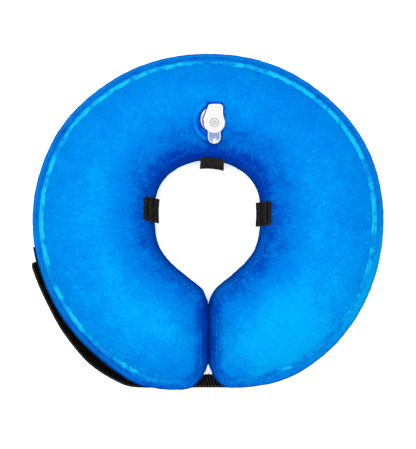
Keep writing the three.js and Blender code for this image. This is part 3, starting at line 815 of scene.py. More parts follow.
@dataclass(frozen=True)
class PlushFinish:
    """Short brushed plush over an inflated film.

    Attributes:
        pile: depth of the pile, in metres.
        sheen: how much light catches on its tips.
        combed_from: distance from a seam, in metres, within which the hairs lie away from it.
        stitched, stitches, stitch_line: the stitches' strength, their number to a metre, and their distance.
    """

    pile: float = 0.0011
    sheen: float = 0.1
    combed_from: float = 0.017
    stitched: float = 0.1
    stitches: float = 310
    stitch_line: float = 0.0054

    def build(self, name: str, groups: Groups) -> Material:
        """Makes the material.

        Args:
            name: its name.
            groups: the shared node groups.

        Returns:
            The material. It reads the attributes shade and seam_distance, and the UV map.
        """
        material, nodes, surface = new_material(name)
        place = nodes.add("TexCoord").outputs["Object"]
        cloth = nodes.cloth()
        shade = nodes.attribute("shade")
        away = nodes.attribute("seam_distance")
        combed = nodes.ramp(away, self.combed_from, 0.003)
        nap = placed_group(nodes, groups.nap, Object=place, Cloth=cloth, Combed=combed)
        hair, patch = nap.outputs[0], nap.outputs[1]
        # Painted light and shade: the shade attribute, shifted by the nap's random patches and hairs, picks
        # the plush from painted edge shade through shaded and half lit to lit.
        lit = nodes.math("ADD", shade, nodes.math("MULTIPLY", nodes.math("SUBTRACT", patch, 0.5), 0.5))
        strength = nodes.math("ADD", nodes.math("MULTIPLY", combed, 0.35), 0.72)
        lit = nodes.math("ADD", lit, nodes.math("MULTIPLY", nodes.math("SUBTRACT", hair, 0.5), strength))
        low = nodes.mix(nodes.ramp(lit, 0.0, 0.55), colour(Tone.PLUSH_SHADED), colour(Tone.PLUSH_HALF_LIT))
        low = nodes.mix(nodes.ramp(lit, -0.75, -0.02), colour(Tone.PLUSH_EDGE_SHADE), low)
        tint = nodes.mix(nodes.ramp(lit, 0.5, 1.05), low, colour(Tone.PLUSH_LIT))
        parts = nodes.add("SeparateXYZ", None, i0=cloth).outputs
        dash = nodes.math("SINE", nodes.math("MULTIPLY", parts[0], math.tau * self.stitches))
        beside = nodes.math("ABSOLUTE", nodes.math("SUBTRACT", away, self.stitch_line))
        sewn = nodes.math("MULTIPLY", nodes.ramp(beside, 0.0011, 0.0003), nodes.ramp(dash, -0.7, 0.1))
        # The stitches take the shaded plush colour and sink a little.
        tint = nodes.mix(nodes.math("MULTIPLY", sewn, self.stitched), tint, colour(Tone.PLUSH_SHADED))
        height = nodes.math("SUBTRACT", hair, nodes.math("MULTIPLY", sewn, self.stitched * 2))
        nodes.fill(
            surface, Base_Color=tint, Normal=nodes.relief(height, 0.7, self.pile),
            Roughness=nodes.ramp(hair, 0.2, 0.8, 1.0, 0.86), Specular_IOR_Level=0.0,
            Sheen_Weight=self.sheen, Sheen_Roughness=0.4, Sheen_Tint=(0.0, 0.42, 1.0, 1.0),
        )
        return material


@dataclass(frozen=True)
class RidgeFinish:
    """The raised seam's pile, lighter than the plush by a painted highlight where the shade attribute is
    high.

    Attributes:
        pile: depth of the pile, in metres.
        tuft: tufts to a metre.
        hair: hairs to a metre.
    """

    pile: float = 0.0008
    tuft: float = 210
    hair: float = 900

    def build(self, name: str) -> Material:
        """Makes the material.

        Args:
            name: its name.

        Returns:
            The material. It reads the attribute shade and the UV map.
        """
        material, nodes, surface = new_material(name)
        cloth = nodes.cloth()
        shade = nodes.attribute("shade")
        tufts = nodes.noise(nodes.drawn(cloth, (1.6, 1, 1)), self.tuft, 5.0, 0.7)
        hair = nodes.noise(nodes.drawn(cloth, (1, 3, 1)), self.hair, 2.0, 0.6)
        lit = nodes.math("ADD", shade, nodes.math("MULTIPLY", nodes.math("SUBTRACT", tufts, 0.5), 1.9))
        lit = nodes.math("ADD", lit, nodes.math("MULTIPLY", nodes.math("SUBTRACT", hair, 0.5), 0.5))
        # Painted shade where the ridge hides, then the shaded ridge, then its painted highlight.
        deep = nodes.mix(nodes.ramp(lit, -0.7, 0.4), colour(Tone.PLUSH_SHADED), colour(Tone.PLUSH_HALF_LIT))
        low = nodes.mix(nodes.ramp(lit, 0.3, 0.6), deep, colour(Tone.RIDGE_SHADED))
        tint = nodes.mix(nodes.ramp(lit, 0.55, 1.0), low, colour(Tone.RIDGE_HIGHLIGHT))
        height = nodes.math("ADD", nodes.math("MULTIPLY", tufts, 0.7), nodes.math("MULTIPLY", hair, 0.5))
        nodes.fill(
            surface, Base_Color=tint, Normal=nodes.relief(height, 0.6, self.pile),
            Roughness=nodes.ramp(hair, 0.2, 0.8, 1.0, 0.86), Specular_IOR_Level=0.02,
            Sheen_Weight=0.2, Sheen_Tint=(0.0, 0.6, 1.0, 1.0),
        )
        return material


@dataclass(frozen=True)
class TapeFinish:
    """Woven tape: the webbing of the loops, the strap, or the pile of the strip.

    Attributes:
        dark, light: colours of its hollows and of its ribs; the ribs' crowns take the lighter one as a
            painted highlight, and so do worn patches.
        ribs, depth: ribs to a metre, and the depth of the weave, in metres.
        grey: how strongly the ribs' painted highlight shows.
        shine: how much it shines.
    """

    dark: Tone
    light: Tone
    ribs: float
    depth: float = 0.0004
    grey: float = 0.5
    shine: float = 0.03

    def build(self, name: str, groups: Groups) -> Material:
        """Makes the material.

        Args:
            name: its name.
            groups: the shared node groups.

        Returns:
            The material. It reads the attribute wear_and_highlight, for worn edges and painted highlights,
            and the UV map.
        """
        material, nodes, surface = new_material(name)
        cloth = nodes.cloth()
        wear_and_highlight = nodes.attribute("wear_and_highlight")
        weave = placed_group(nodes, groups.ribs, Cloth=cloth, Ribs=self.ribs * math.tau)
        height, wear = weave.outputs[0], weave.outputs[1]
        # Lighter colour on the ribs' crowns as painted highlight, on worn patches as wear, and where
        # wear_and_highlight is painted.
        light = nodes.math("MULTIPLY", nodes.ramp(height, 0.1, 0.8), self.grey)
        light = nodes.math("ADD", light, nodes.math("MULTIPLY", wear, 0.18))
        light = nodes.math("ADD", light, wear_and_highlight, hold=True)
        nodes.fill(
            surface, Base_Color=nodes.mix(light, colour(self.dark), colour(self.light)),
            Normal=nodes.relief(height, 0.7, self.depth), Roughness=nodes.ramp(wear, 0, 1, 0.86, 0.66),
            Specular_IOR_Level=self.shine,
        )
        return material


@dataclass(frozen=True)
class VinylFinish:
    """Clear soft vinyl, milky where it is thick.

    Attributes:
        tint: the colour that the attribute hollow_shade gives it: painted shade in grooves, gaps and sunken
            middles, and on the pull tab the tint of its thin middle.
        clear: how much light passes straight through.
        roughness: how soft its shine is.
        uneven: how uneven its skin is, in metres.
    """

    tint: Tone
    clear: float
    roughness: float = 0.24
    uneven: float = 0.0003

    def build(self, name: str) -> Material:
        """Makes the material.

        Args:
            name: its name.

        Returns:
            The material.
        """
        material, nodes, surface = new_material(name)
        place = nodes.add("TexCoord").outputs["Object"]
        hollow_shade = nodes.attribute("hollow_shade")
        cloud = nodes.noise(place, 240.0, 3.0, 0.6)
        scuff = nodes.noise(nodes.drawn(place, (1, 3, 1), 30), 1400.0, 2.0, 0.6)
        # Faint random clouding plus what hollow_shade gives: painted shade, painted gap shadow, and the pull
        # tab's thin tint.
        shaded = nodes.math("MULTIPLY", nodes.ramp(cloud, 0.42, 0.75), 0.05)
        shaded = nodes.math("ADD", shaded, hollow_shade, hold=True)
        nodes.fill(
            surface, Base_Color=nodes.mix(shaded, colour(Tone.VINYL), colour(self.tint)),
            Roughness=nodes.ramp(scuff, 0.3, 0.8, self.roughness, self.roughness + 0.2),
            Normal=nodes.relief(cloud, 0.25, self.uneven), Transmission_Weight=self.clear, IOR=1.5,
        )
        return material


def floor_material() -> Material:
    """A plain pale floor with the faintest unevenness, lit a little from below like a light table."""
    material, nodes, surface = new_material("studio_floor")
    place = nodes.add("TexCoord").outputs["Object"]
    speck = nodes.ramp(nodes.noise(place, 6.0, 3.0), 0.3, 0.7)
    nodes.fill(
        surface, Base_Color=nodes.mix(speck, colour(Tone.FLOOR), (0.9, 0.9, 0.9, 1)), Roughness=0.9,
        Emission_Color=(1, 1, 1, 1), Emission_Strength=0.45,
    )
    return material


# Cover


@dataclass(frozen=True)
class Seat:
    """The flat on the top panel that the valve is welded to, in millimetres.

    Attributes:
        x, y, z: where the valve's axis meets the panel.
        lean: how far it leans to the back, in degrees.
        flat, blend: radius of the flat, and the way back to the panel's own shape.
    """

    x: float = 7.057
    y: float = 112.735
    z: float = 97.303
    lean: float = 14
    flat: float = 21
    blend: float = 9

    @cached_property
    def frame(self) -> Matrix:
        """Where the valve's own frame stands."""
        lean = Matrix.Rotation(math.radians(self.lean), 4, "X")
        return Matrix.Translation((self.x, self.y, self.z)) @ lean

    @cached_property
    def inverse(self) -> Matrix:
        """The way back into the valve's own frame."""
        return self.frame.inverted()

    def away(self, point: Vector) -> float:
        """How far a point is from the axis of the valve."""
        local = self.inverse @ point
        return math.hypot(local.x, local.y)

    def flattened(self, point: Vector) -> Vector:
        """Draws a point of the panel onto the flat."""
        local = self.inverse @ point
        hold = 1 - smooth(math.hypot(local.x, local.y), self.flat, self.flat + self.blend)
        local.z *= 1 - hold
        return self.frame @ local


@dataclass(frozen=True)
class ValvePlan:
    """The valve seen from above, in millimetres in its own frame.

    Attributes:
        flange, flange_x, flange_y, squeeze: the flange, its middle, and how far its right side is drawn in.
        cap: radius of the cap.
        tongue_x, tongue_half, tongue_reach: the hinge tongue's middle, half its width, and its length.
        root_x, root_y: the left corner of its root.
        root_behind, root_before, root_end: how fast it runs in beside that corner, and where it ends.
        tab, tab_reach: half the width of the pull tab, and its length.
    """

    flange: float = 14.8
    flange_x: float = -0.5
    flange_y: float = 2.4
    squeeze: float = 0.78
    cap: float = 11.9
    tongue_x: float = 0.6
    tongue_half: float = 8
    tongue_reach: float = 20.4
    root_x: float = -12.6
    root_y: float = 3
    root_behind: float = 0.41
    root_before: float = 0.12
    root_end: float = -4
    tab: float = 7.3
    tab_reach: float = 24

    def beside(self, place: Vector) -> float:
        """How far a place lies outside the valve's outline, below 0 inside it.

        Args:
            place: in the valve's own frame.

        Returns:
            The distance.
        """
        right = self.squeeze if place.x > self.flange_x else 1
        flange = math.hypot((place.x - self.flange_x) / right, place.y - self.flange_y) - self.flange
        tongue = max(abs(place.x - self.tongue_x) - self.tongue_half, place.y - self.tongue_reach, -place.y)
        tab = max(abs(place.x) - self.tab, -self.tab_reach - place.y, place.y)
        round_end = self.tab_reach - self.tab
        if place.y < -round_end:
            tab = max(tab, math.hypot(place.x, place.y + round_end) - self.tab)
        return min(flange, tongue, tab)

    def gap_shadow_at(self, place: Vector) -> float:
        """How much painted shadow falls on the flange at a point, in the gap under the stopper's cap and
        tongue.
        """
        behind = place.y - self.root_y
        edge = self.root_x + (self.root_behind * behind if behind > 0 else -self.root_before * behind)
        tongue = edge - place.x if place.y > self.root_end else math.inf
        away = min(math.hypot(place.x, place.y) - self.cap, tongue)
        return smooth(away, 1.7, 0.8)


@dataclass(frozen=True)
class Press:
    """How the strap and the strip press the outer wall in, in millimetres.

    Attributes:
        thickness, width, lower: of the strap, and the height of its lower edge.
        tuck: how far in that edge lies at most.
        clearance, strip: the gap behind the strap, and the room for the strip.
        first, last: the turns at which the strap starts and the strip ends.
        spread: degrees over which the wall swells out again past either.
        strip_from: the turns between which the strip's room opens up.
    """

    thickness: float = 2.5
    lower: float = 23
    width: float = 36
    tuck: float = 14.5
    clearance: float = 0.6
    strip: float = 1.95
    first: float = -27
    last: float = 82
    spread: float = 9
    strip_from: tuple[float, float] = (27, 31)

    def face(self, turn: float, up: float) -> float:
        """Radius of the strap's outer face, up being the share of its width."""
        return RING.oval(turn) * STRAP_REACH.at(turn) - self.tuck * STRAP_TUCK.at(turn) * (1 - up)

    def limit(self, turn: float, height: float) -> float:
        """How far out the wall may stand.

        Args:
            turn: the place, from -180 to 180.
            height: height above the floor.

        Returns:
            The radius that the wall stays within.
        """
        beyond = max(self.first - turn, turn - self.last, 0)
        if beyond > self.spread:
            return math.inf
        upper = self.lower + self.width
        up = clamp((height - self.lower) / self.width)
        strip = self.strip * smooth(turn, *self.strip_from)
        inside = self.face(turn, up) - self.thickness - self.clearance - strip
        over = max(height - upper - 1, self.lower - height - 1, 0)
        return inside + 1.5 * over ** 0.8 + beyond * 1.6

    def held(self, point: Vector) -> Vector:
        """Moves a point of the outer wall in behind the strap."""
        radius = math.hypot(point.x, point.y)
        limit = self.limit(RING.turn_of(point), point.z)
        if radius <= limit:
            return point
        return Vector((point.x * limit / radius, point.y * limit / radius, point.z))


SEAT = Seat()
PLAN = ValvePlan()
PRESS = Press()

# Painted light and shade on the top panel and the walls, and the relief of the weld and of the back wall's
# pleat.
PANEL_GLOWS = (
    Glow(102, -106, 58, 60, 0.33),
    Glow(-75, -95, 52, 52, 0.1815),
    Glow(84, -152, 40, 32, 0.36),
    Glow(105, -56, 30, 30, -0.14),
)
SIDE_GLOW = Glow(135, 30, 45, 80, 0.1)
RING_BAND = Band(62, 22, 0.1)
NECK_BAND = Band(22, 10, 0.13)
WELD_RELIEF = (Band(21.5, 1.7, 0.85), Band(18.2, 1.5, -0.6))
WELD_SHADE = (Band(18.4, 1.5, 0.4), Band(21.8, 1.4, -0.3), Band(25.0, 1.5, 0.2))
SEAM_CREASE_SHADE = (Band(2.4, 1.3, 0.26), Band(5.2, 1.3, -0.16))
WALL_RELIEF = (Band(0.66, 0.09, 0.5), Band(0.8, 0.05, -0.45))
WALL_PLEAT_SHADE = (Band(0.62, 0.09, 0.26), Band(0.79, 0.05, -0.14))
WALL_CREASE_SHADE = (Band(0.86, 0.06, 0.2), Band(0.62, 0.05, 0.12))


def shade_at(point: Vector) -> float:
    """The painted light and shade of the top panel, seen from above, from 0 to 1.

    Args:
        point: a place on the top panel, in millimetres.

    Returns:
        Its painted shade, darker towards the neck hole and lighter on the lobes.
    """
    turn = RING.turn_of(point) % 360
    from_neck = math.hypot(point.x, point.y) - RING.neck(turn).length
    back = bump(min(abs(turn - 180), 180), 0, 70)
    # Painted shade falling into the neck hole, and painted light on the lobes and the sides.
    hollow_shade = smooth(from_neck, -16 + 10 * back, 66 + 6 * back)
    glow = sum(patch.at(point) for patch in PANEL_GLOWS) + SIDE_GLOW.at(Vector((abs(point.x), point.y)))
    glow += RING_BAND.at(from_neck) + NECK_BAND.at(from_neck) * back
    right = 0.07 * smooth(point.x, 20, 90) * smooth(point.y, -40, 20)
    right += 0.08 * bump(turn, 307, 25) * smooth(from_neck, 64, 20)
    return clamp(0.1 + 0.5 * hollow_shade + glow - right - 0.08 * back, -0.2, 1)


class Part(Enum):
    """The parts of the cover: the name of each piece and of the solid it stands for."""

    TOP = ("cover_top", "top_panel")
    BOTTOM = ("cover_bottom", "bottom_panel")
    OUTER = ("cover_outer_wall", "outer_band")
    NECK = ("cover_neck_wall", "neck_band")


class Seed(float, Enum):
    """Where the noise of each seam's puckers starts."""

    TOP = 1.5
    BOTTOM = 11.5
    WALL_ABOVE = 21.5
    WALL_BELOW = 31.5
    WALL_UPRIGHT = 41.5
    WALL_CROWDED = 43.5
    RIDGE_ABOVE = 51.5
    RIDGE_BELOW = 61.5


@dataclass
class Cover:
    """The plush cover of the inflated ring, sewn of two panels, an outer wall and a neck wall.

    Attributes:
        groups: the shared node groups.
        panel_steps, panel_rows: cells round a panel, and across the top and the bottom one.
        outer_cells, neck_cells: cells along and across each wall.
        pucker, valley: height of the puckers and depth of the valley beside the seams, in millimetres.
        drape: how much longer the cloth of a panel is than its plan.
        wall_half, wall_away: half a wall's cloth, and how far from the seams its middle counts.
        tight: how far the puckers of the neck wall stand out at most.
        touch: how much of their gap the end walls give up where they are pressed together.
        bore: radius of the hole for the valve's stem.
        shared_turn: degrees between the points that both sides of the crest share.
    """

    groups: Groups
    panel_steps: int = 1220
    panel_rows: tuple[int, int] = (38, 26)
    outer_cells: tuple[int, int] = (900, 30)
    neck_cells: tuple[int, int] = (250, 28)
    pucker: float = 0.75
    valley: float = 0.25
    drape: float = 1.15
    wall_half: float = 31
    wall_away: float = 80
    tight: float = 0.25
    touch: float = 0.98
    bore: float = 9.5
    shared_turn: float = 0.9

    def panel_row(self, row: int, rows: int) -> float:
        """The share of the way from the seam to the crest of a row, close together near the seam."""
        return (row / rows) ** 1.45

    def panel_place(self, here: Station, share: float, side: int) -> Vector:
        """A point of a panel before its creases are worked in.

        Args:
            here: its station.
            share: the share of the way from the seam to the crest.
            side: 1 for the top, -1 for the bottom.

        Returns:
            The point.
        """
        section = here.section
        start = section.inset + RING.seam_reach * math.cos(RING.seam_slope) * RING.seam_share
        low = section.height + RING.seam_reach * math.sin(RING.seam_slope) * RING.seam_share
        inset = lerp(start, here.reach / here.stretch, share)
        rise = share if side > 0 else min(share / (1 - RING.flat_share), 1)
        climb = 1 - (1 - rise) ** section.fullness
        return here.point(inset, side * lerp(low, RING.height / 2, climb))

    def panel_distance(self, here: Station, share: float) -> float:
        """How far from the seam a share of the way to the crest is."""
        return share * (here.reach / here.stretch - here.section.inset)

    def folds(self, along: float, away: float, seed: float) -> float:
        """The puckers beside a seam, from about -1 to 1.

        Args:
            along: distance along the seam.
            away: distance from it.
            seed: which seam it is.

        Returns:
            How far the cloth stands out there, as a share of the pucker.
        """
        long_folds = ripple(along / 11, away / 38, seed) * math.exp(-away / 14)
        short_folds = ripple(along / 3.6, away / 20, seed + 9) * math.exp(-away / 7)
        strength = 0.5 + 1.3 * abs(ripple(along / 60, 0.5, seed + 4))
        return strength * (1.15 * long_folds + 1.0 * short_folds)

    def seam_creases(self, along: float, away: float, seed: float) -> float:
        """How far the puckers and the valley beside a seam stand out."""
        return self.pucker * self.folds(along, away, seed) - self.valley * bump(away, 2.8, 2.2)

    @staticmethod
    def from_neck(point: Vector) -> float:
        """How far a point lies from the neck hole, seen from above."""
        turn = RING.turn_of(point) % 360
        return math.hypot(point.x, point.y) - RING.neck(turn).length

    def top_creases(self, here: Station, share: float, point: Vector) -> float:
        """All that stands out of or into the top panel at a point.

        Args:
            here: its station.
            share: the share of the way from the seam to the crest.
            point: the point.

        Returns:
            How far the cloth stands out.
        """
        away = self.panel_distance(here, share)
        fade = 1 - smooth(share, 0.55, 0.92)
        stand = self.seam_creases(here.along, away, Seed.TOP) * fade
        stand *= lerp(0.5, 1, smooth(self.from_neck(point), 25, 60))
        broad = 0.9 * ripple(point.x / 52, point.y / 52, 7.1) + 0.45 * ripple(point.x / 21, point.y / 21, 3.3)
        stand += broad * smooth(away, 4, 24)
        corner = smooth(abs(RING.turn_of(point)), 17, 5) * smooth(-point.y, 135, 165) * fade
        stand += corner * 1.1 * ripple(here.along / 7.5, away / 30, 5.5) * math.exp(-away / 18)
        ring = SEAT.away(point)
        left = 0.55 + 0.45 * smooth(SEAT.x - point.x, -12, 14)
        turn = math.atan2(point.y - SEAT.y, point.x - SEAT.x)
        folds = bump(ring, 25, 7) * 0.5 * ripple(turn * 3.4, ring / 20, 2.2)
        clear = smooth(ring, 17, 24)
        return stand * clear + summed(WELD_RELIEF, ring) * left + folds * clear

    def bottom_creases(self, here: Station, share: float, point: Vector) -> float:
        """All that stands out of or into the bottom panel at a point, nothing where it rests."""
        stand = self.seam_creases(here.along, self.panel_distance(here, share), Seed.BOTTOM)
        stand += 0.8 * ripple(point.x / 40, point.y / 40, 1.7)
        return min(stand * (1 - smooth(share, 0.42, 0.68)), 0.9)

    def crest_point(self, here: Station, side: int) -> Vector:
        """The point of the crest that both sides of a panel share there, at even turns.

        Args:
            here: a station beside it.
            side: 1 for the top, -1 for the bottom.

        Returns:
            The point.
        """
        turn = round(RING.turn_of(here.crest) % 360 / self.shared_turn) * self.shared_turn
        first = RING.crest_start
        crest = RING.crest(clamp(turn, first, 360 - first))
        for end in (RING.crest(first), RING.crest(360 - first)):
            if (here.crest - end).length < 2.5:
                crest = end
        return Vector((crest.x, crest.y, RING.height / 2 * (1 + side)))

    @staticmethod
    def by_slit(point: Vector) -> bool:
        """Whether a point lies close to the slit."""
        return abs(point.x) < 5 and point.y < -85

    @staticmethod
    def own_side(point: Vector, here: Station) -> float:
        """Where along X a point close to the slit lies once it keeps to its own side."""
        return RING.beside_slit(point.xy, -1 if here.crest.x < 0 else 1).x

    def panel(self, side: int) -> Grid:
        """Makes the top or the bottom panel.

        Args:
            side: 1 for the top, -1 for the bottom.

        Returns:
            The panel, open along its seam.
        """
        rows = self.panel_rows[0 if side > 0 else 1]
        steps = self.panel_steps if side > 0 else self.panel_steps // 2
        line = Line(RING.outer_stations() + RING.neck_stations(), steps, True)
        grid = Grid(steps, rows, True)
        shares = [self.panel_row(row, rows) for row in range(rows + 1)]
        grid.shape(lambda step, row: self.panel_place(line.stations[step], shares[row], side))
        grid.face_out(lambda point: Vector((point.x, point.y, RING.height / 2)))
        normals = [vertex.normal.copy() for vertex in grid.mesh.verts]
        for vertex, normal, (step, row) in zip(grid.mesh.verts, normals, grid.place_of):
            here, share = line.stations[step], shares[row]
            if row == rows:
                normal = Vector((0, 0, side))
                vertex.co = self.crest_point(here, side)
            if side > 0:
                vertex.co = SEAT.flattened(vertex.co)
                vertex.co += normal * self.top_creases(here, share, vertex.co)
            else:
                vertex.co += normal * self.bottom_creases(here, share, vertex.co)
            if self.by_slit(vertex.co):
                vertex.co.x = self.own_side(vertex.co, here)

        def cloth(step: int, row: int) -> tuple[float, float]:
            """Where a point lies on the cloth, along the seam and away from it."""
            away = self.panel_distance(line.stations[step % steps], shares[row])
            return line.length * step / steps, away * self.drape

        grid.paint("seam_distance", lambda step, row, _: cloth(step, row)[1] * MM)
        grid.paint("shade", self.top_shade(line, shares) if side > 0 else lambda *_: 0.4)
        grid.unwrap(cloth)
        crest = [vertex for vertex, (_, row) in zip(grid.mesh.verts, grid.place_of) if row == rows]
        bmesh.ops.remove_doubles(grid.mesh, verts=crest, dist=0.02)
        bmesh.ops.dissolve_degenerate(grid.mesh, edges=grid.mesh.edges, dist=0.001)
        return grid

    def top_shade(self, line: Line, shares: list[float]) -> Shader:
        """The painted light and shade of each point of the top panel.

        Args:
            line: its stations.
            shares: each row's share of the way to the crest.

        Returns:
            A function of step, row and point.
        """

        def shade(step: int, row: int, point: Vector) -> float:
            """The shade of one point."""
            here = line.stations[step]
            away = self.panel_distance(here, shares[row])
            turn = RING.turn_of(point)
            end = smooth(abs(point.x - RING.slit_x), 20, 8) * smooth(-point.y, 84, 100)
            outer = smooth(self.from_neck(point), 25, 60) * (1 - end)
            front = smooth(abs(turn), 88, 70)
            fade = 1 - smooth(shares[row], 0.55, 0.92)
            # Painted shade in the puckers' folds, along crease lines beside the seam, round the weld, as the
            # valve's cast shadow, on the ends at the slit and in the front corners; painted light along the
            # outer seam.
            fold_shade = lerp(0.05, 0.2, outer) * clamp(-self.folds(here.along, away, Seed.TOP), 0, 0.8) * fade
            ring = SEAT.away(point)
            weld_shade = summed(WELD_SHADE, ring) * smooth(SEAT.x - point.x, -3, 9)
            shadow = 0.8 * smooth(PLAN.beside(SEAT.inverse @ point), 2.1, 0.5) if ring < 40 else 0.0
            corner = 0.16 * smooth(abs(turn), 24, 8) * math.exp(-away / 10) * smooth(-point.y, 130, 160)
            tip = bump(turn, -25, 15)
            lines = outer * front * summed(SEAM_CREASE_SHADE, away) * (1 - 0.8 * tip)
            rim = (0.14 * (1 - front) + 0.3 * tip) * math.exp(-away / 8) * outer
            dark = fold_shade + lines + weld_shade + shadow + 0.26 * end + corner
            return clamp(shade_at(point) + rim - dark, -0.4, 1)

        return shade

    @staticmethod
    def wall_place(here: Station, level: float) -> Vector:
        """A point of a wall before its creases are worked in.

        Args:
            here: its station.
            level: from -1 to 1 between the seams.

        Returns:
            The point.
        """
        section = here.section
        inset = section.inset - RING.seam_reach * math.cos(RING.seam_slope) * RING.seam_share
        height = section.height - RING.seam_reach * math.sin(RING.seam_slope) * RING.seam_share
        over = level > here.lift
        part = (level - here.lift) / (1 - here.lift) if over else (here.lift - level) / (1 + here.lift)
        return here.point(inset * part ** 2.2, height * level)

    def wall_creases(self, here: Station, level: float, point: Vector, outer: bool) -> float:
        """All that stands out of or into a wall at a point.

        Args:
            here: its station.
            level: from -1 to 1 between the seams.
            point: the point.
            outer: whether the wall is the outer one.

        Returns:
            How far the cloth stands out.
        """
        away = (1 - abs(level)) * here.section.height
        seed = Seed.WALL_ABOVE if level > 0 else Seed.WALL_BELOW
        stand = self.seam_creases(here.along, away, seed) * 0.8
        turn = RING.turn_of(point)
        if outer:
            stand += smooth(abs(turn), 62, 88) * summed(WALL_RELIEF, level)
        upright = ripple(here.along / 6, level * 0.8, Seed.WALL_UPRIGHT)
        upright += 0.6 * ripple(here.along / 2.8, level, Seed.WALL_CROWDED)
        return stand + upright * (0.28 + 0.5 * self.at_slit(point))

    @staticmethod
    def at_slit(point: Vector) -> float:
        """How near a point of a wall is to the slit, 1 in it."""
        return bump(point.x, RING.slit_x, 9) * smooth(-point.y, 80, 92)

    def wall(self, outer: bool) -> Grid:
        """Makes the outer wall, with the two ends that meet at the slit, or the neck wall.

        Args:
            outer: whether it is the outer wall.

        Returns:
            The wall, open along its seams.
        """
        steps, rows = self.outer_cells if outer else self.neck_cells
        line = Line(RING.outer_stations() if outer else RING.neck_stations(), steps, False)
        grid = Grid(steps, rows, False)
        levels = [lerp(-1, 1, row / rows) for row in range(rows + 1)]
        grid.shape(lambda step, row: self.wall_place(line.stations[step], levels[row]))
        grid.face_out(self.ring_middle)
        normals = [vertex.normal.copy() for vertex in grid.mesh.verts]
        for vertex, normal, (step, row) in zip(grid.mesh.verts, normals, grid.place_of):
            here = line.stations[step]
            stand = self.wall_creases(here, levels[row], vertex.co, outer)
            if not outer:
                stand = min(stand, self.tight)
            vertex.co += normal * stand
            if outer:
                vertex.co = PRESS.held(vertex.co)
            if self.by_slit(vertex.co):
                vertex.co.x = self.own_side(vertex.co, here)
                if outer and abs(here.edge.x - RING.slit_x) < 0.5:
                    pressed = smooth(abs(levels[row]), 0.52, 0.4) * smooth(-vertex.co.y, 88, 92)
                    vertex.co.x = lerp(vertex.co.x, RING.slit_x, self.touch * pressed)
        grid.paint("seam_distance", lambda step, row, _: (1 - abs(levels[row])) * self.wall_away * MM)
        grid.paint("shade", self.wall_shade(line, levels, outer))
        grid.unwrap(lambda step, row: (line.length * step / steps, (levels[row] + 1) * self.wall_half))
        return grid

    @staticmethod
    def ring_middle(point: Vector) -> Vector:
        """The middle of the ring's tube at the turn of a point."""
        crest = RING.crest(RING.turn_of(point) % 360)
        return Vector((crest.x, crest.y, RING.height / 2))

    def wall_shade(self, line: Line, levels: list[float], outer: bool) -> Shader:
        """The painted light and shade of each point of a wall.

        Args:
            line: its stations.
            levels: the level of each row.
            outer: whether it is the outer wall.

        Returns:
            A function of step, row and point.
        """

        def shade(step: int, row: int, point: Vector) -> float:
            """The shade of one point."""
            level, here = levels[row], line.stations[step]
            turn = RING.turn_of(point)
            # Neck wall: painted light near its upper seam, painted shade towards the hole's edge, at the back
            # and at the slit.
            if not outer:
                back = bump(abs(turn), 180, 75)
                light = lerp(0.09, 0.27 - 0.2 * back, smooth(level, 0.3, 0.9)) - 0.1 * back
                return light - 0.2 * self.at_slit(point) - 0.85 * smooth(level, 0.46, 0.14)
            # Outer wall: painted light on the front sides and by the strap's end, painted shade at the slit
            # and where the ends touch, in folds and creases, a band of painted shade round the widest line,
            # and painted light and shade on the back's pleat.
            back = smooth(abs(turn), 62, 88)
            right, left, tip = bump(turn, -64, 24), bump(turn, 66, 22), bump(turn, -24, 17)
            contact = 1.3 * bump(point.x, RING.slit_x, 1.3) * smooth(-point.y, 88, 94)
            fold_shade = 0.16 * clamp(-self.folds(here.along, (1 - abs(level)) * 30, Seed.WALL_ABOVE), 0, 0.8)
            crease_shade = (1 - back) * (1 - right) * summed(WALL_CREASE_SHADE, level)
            over = (level - here.lift) / (1 - here.lift)
            low = lerp(0.5, 0.2, back) * smooth(over, 0.58, 0.3) * smooth(over, -0.7, -0.1)
            light = 0.34 + right * (0.28 + 0.36 * smooth(level, 0.35, 0.6)) + 0.12 * left + 0.16 * tip
            light += 0.08 * smooth(level, 0.55, 0.85) + back * summed(WALL_PLEAT_SHADE, level)
            return light - 0.28 * (self.at_slit(point) + contact) - fold_shade - crease_shade - low

        return shade

    def build(self) -> list[Object]:
        """Makes and dresses the parts of the cover.

        Returns:
            The pieces, in the order of the parts.
        """
        plush = PlushFinish().build("plush", self.groups)
        made = []
        for part in Part:
            name, node = part.value
            if part in (Part.TOP, Part.BOTTOM):
                grid = self.panel(1 if part is Part.TOP else -1)
            else:
                grid = self.wall(part is Part.OUTER)
            if part is Part.TOP:
                faces = grid.mesh.faces
                inside = [face for face in faces if SEAT.away(face.calc_center_median()) < self.bore]
                bmesh.ops.delete(grid.mesh, geom=inside, context="FACES")
            piece = finished(grid.mesh, name, plush)
            shell = piece.modifiers.new("wall", "SOLIDIFY")
            shell.thickness = RING.wall * MM
            shell.offset = -1
            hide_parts(node)
            made.append(piece)
        return made


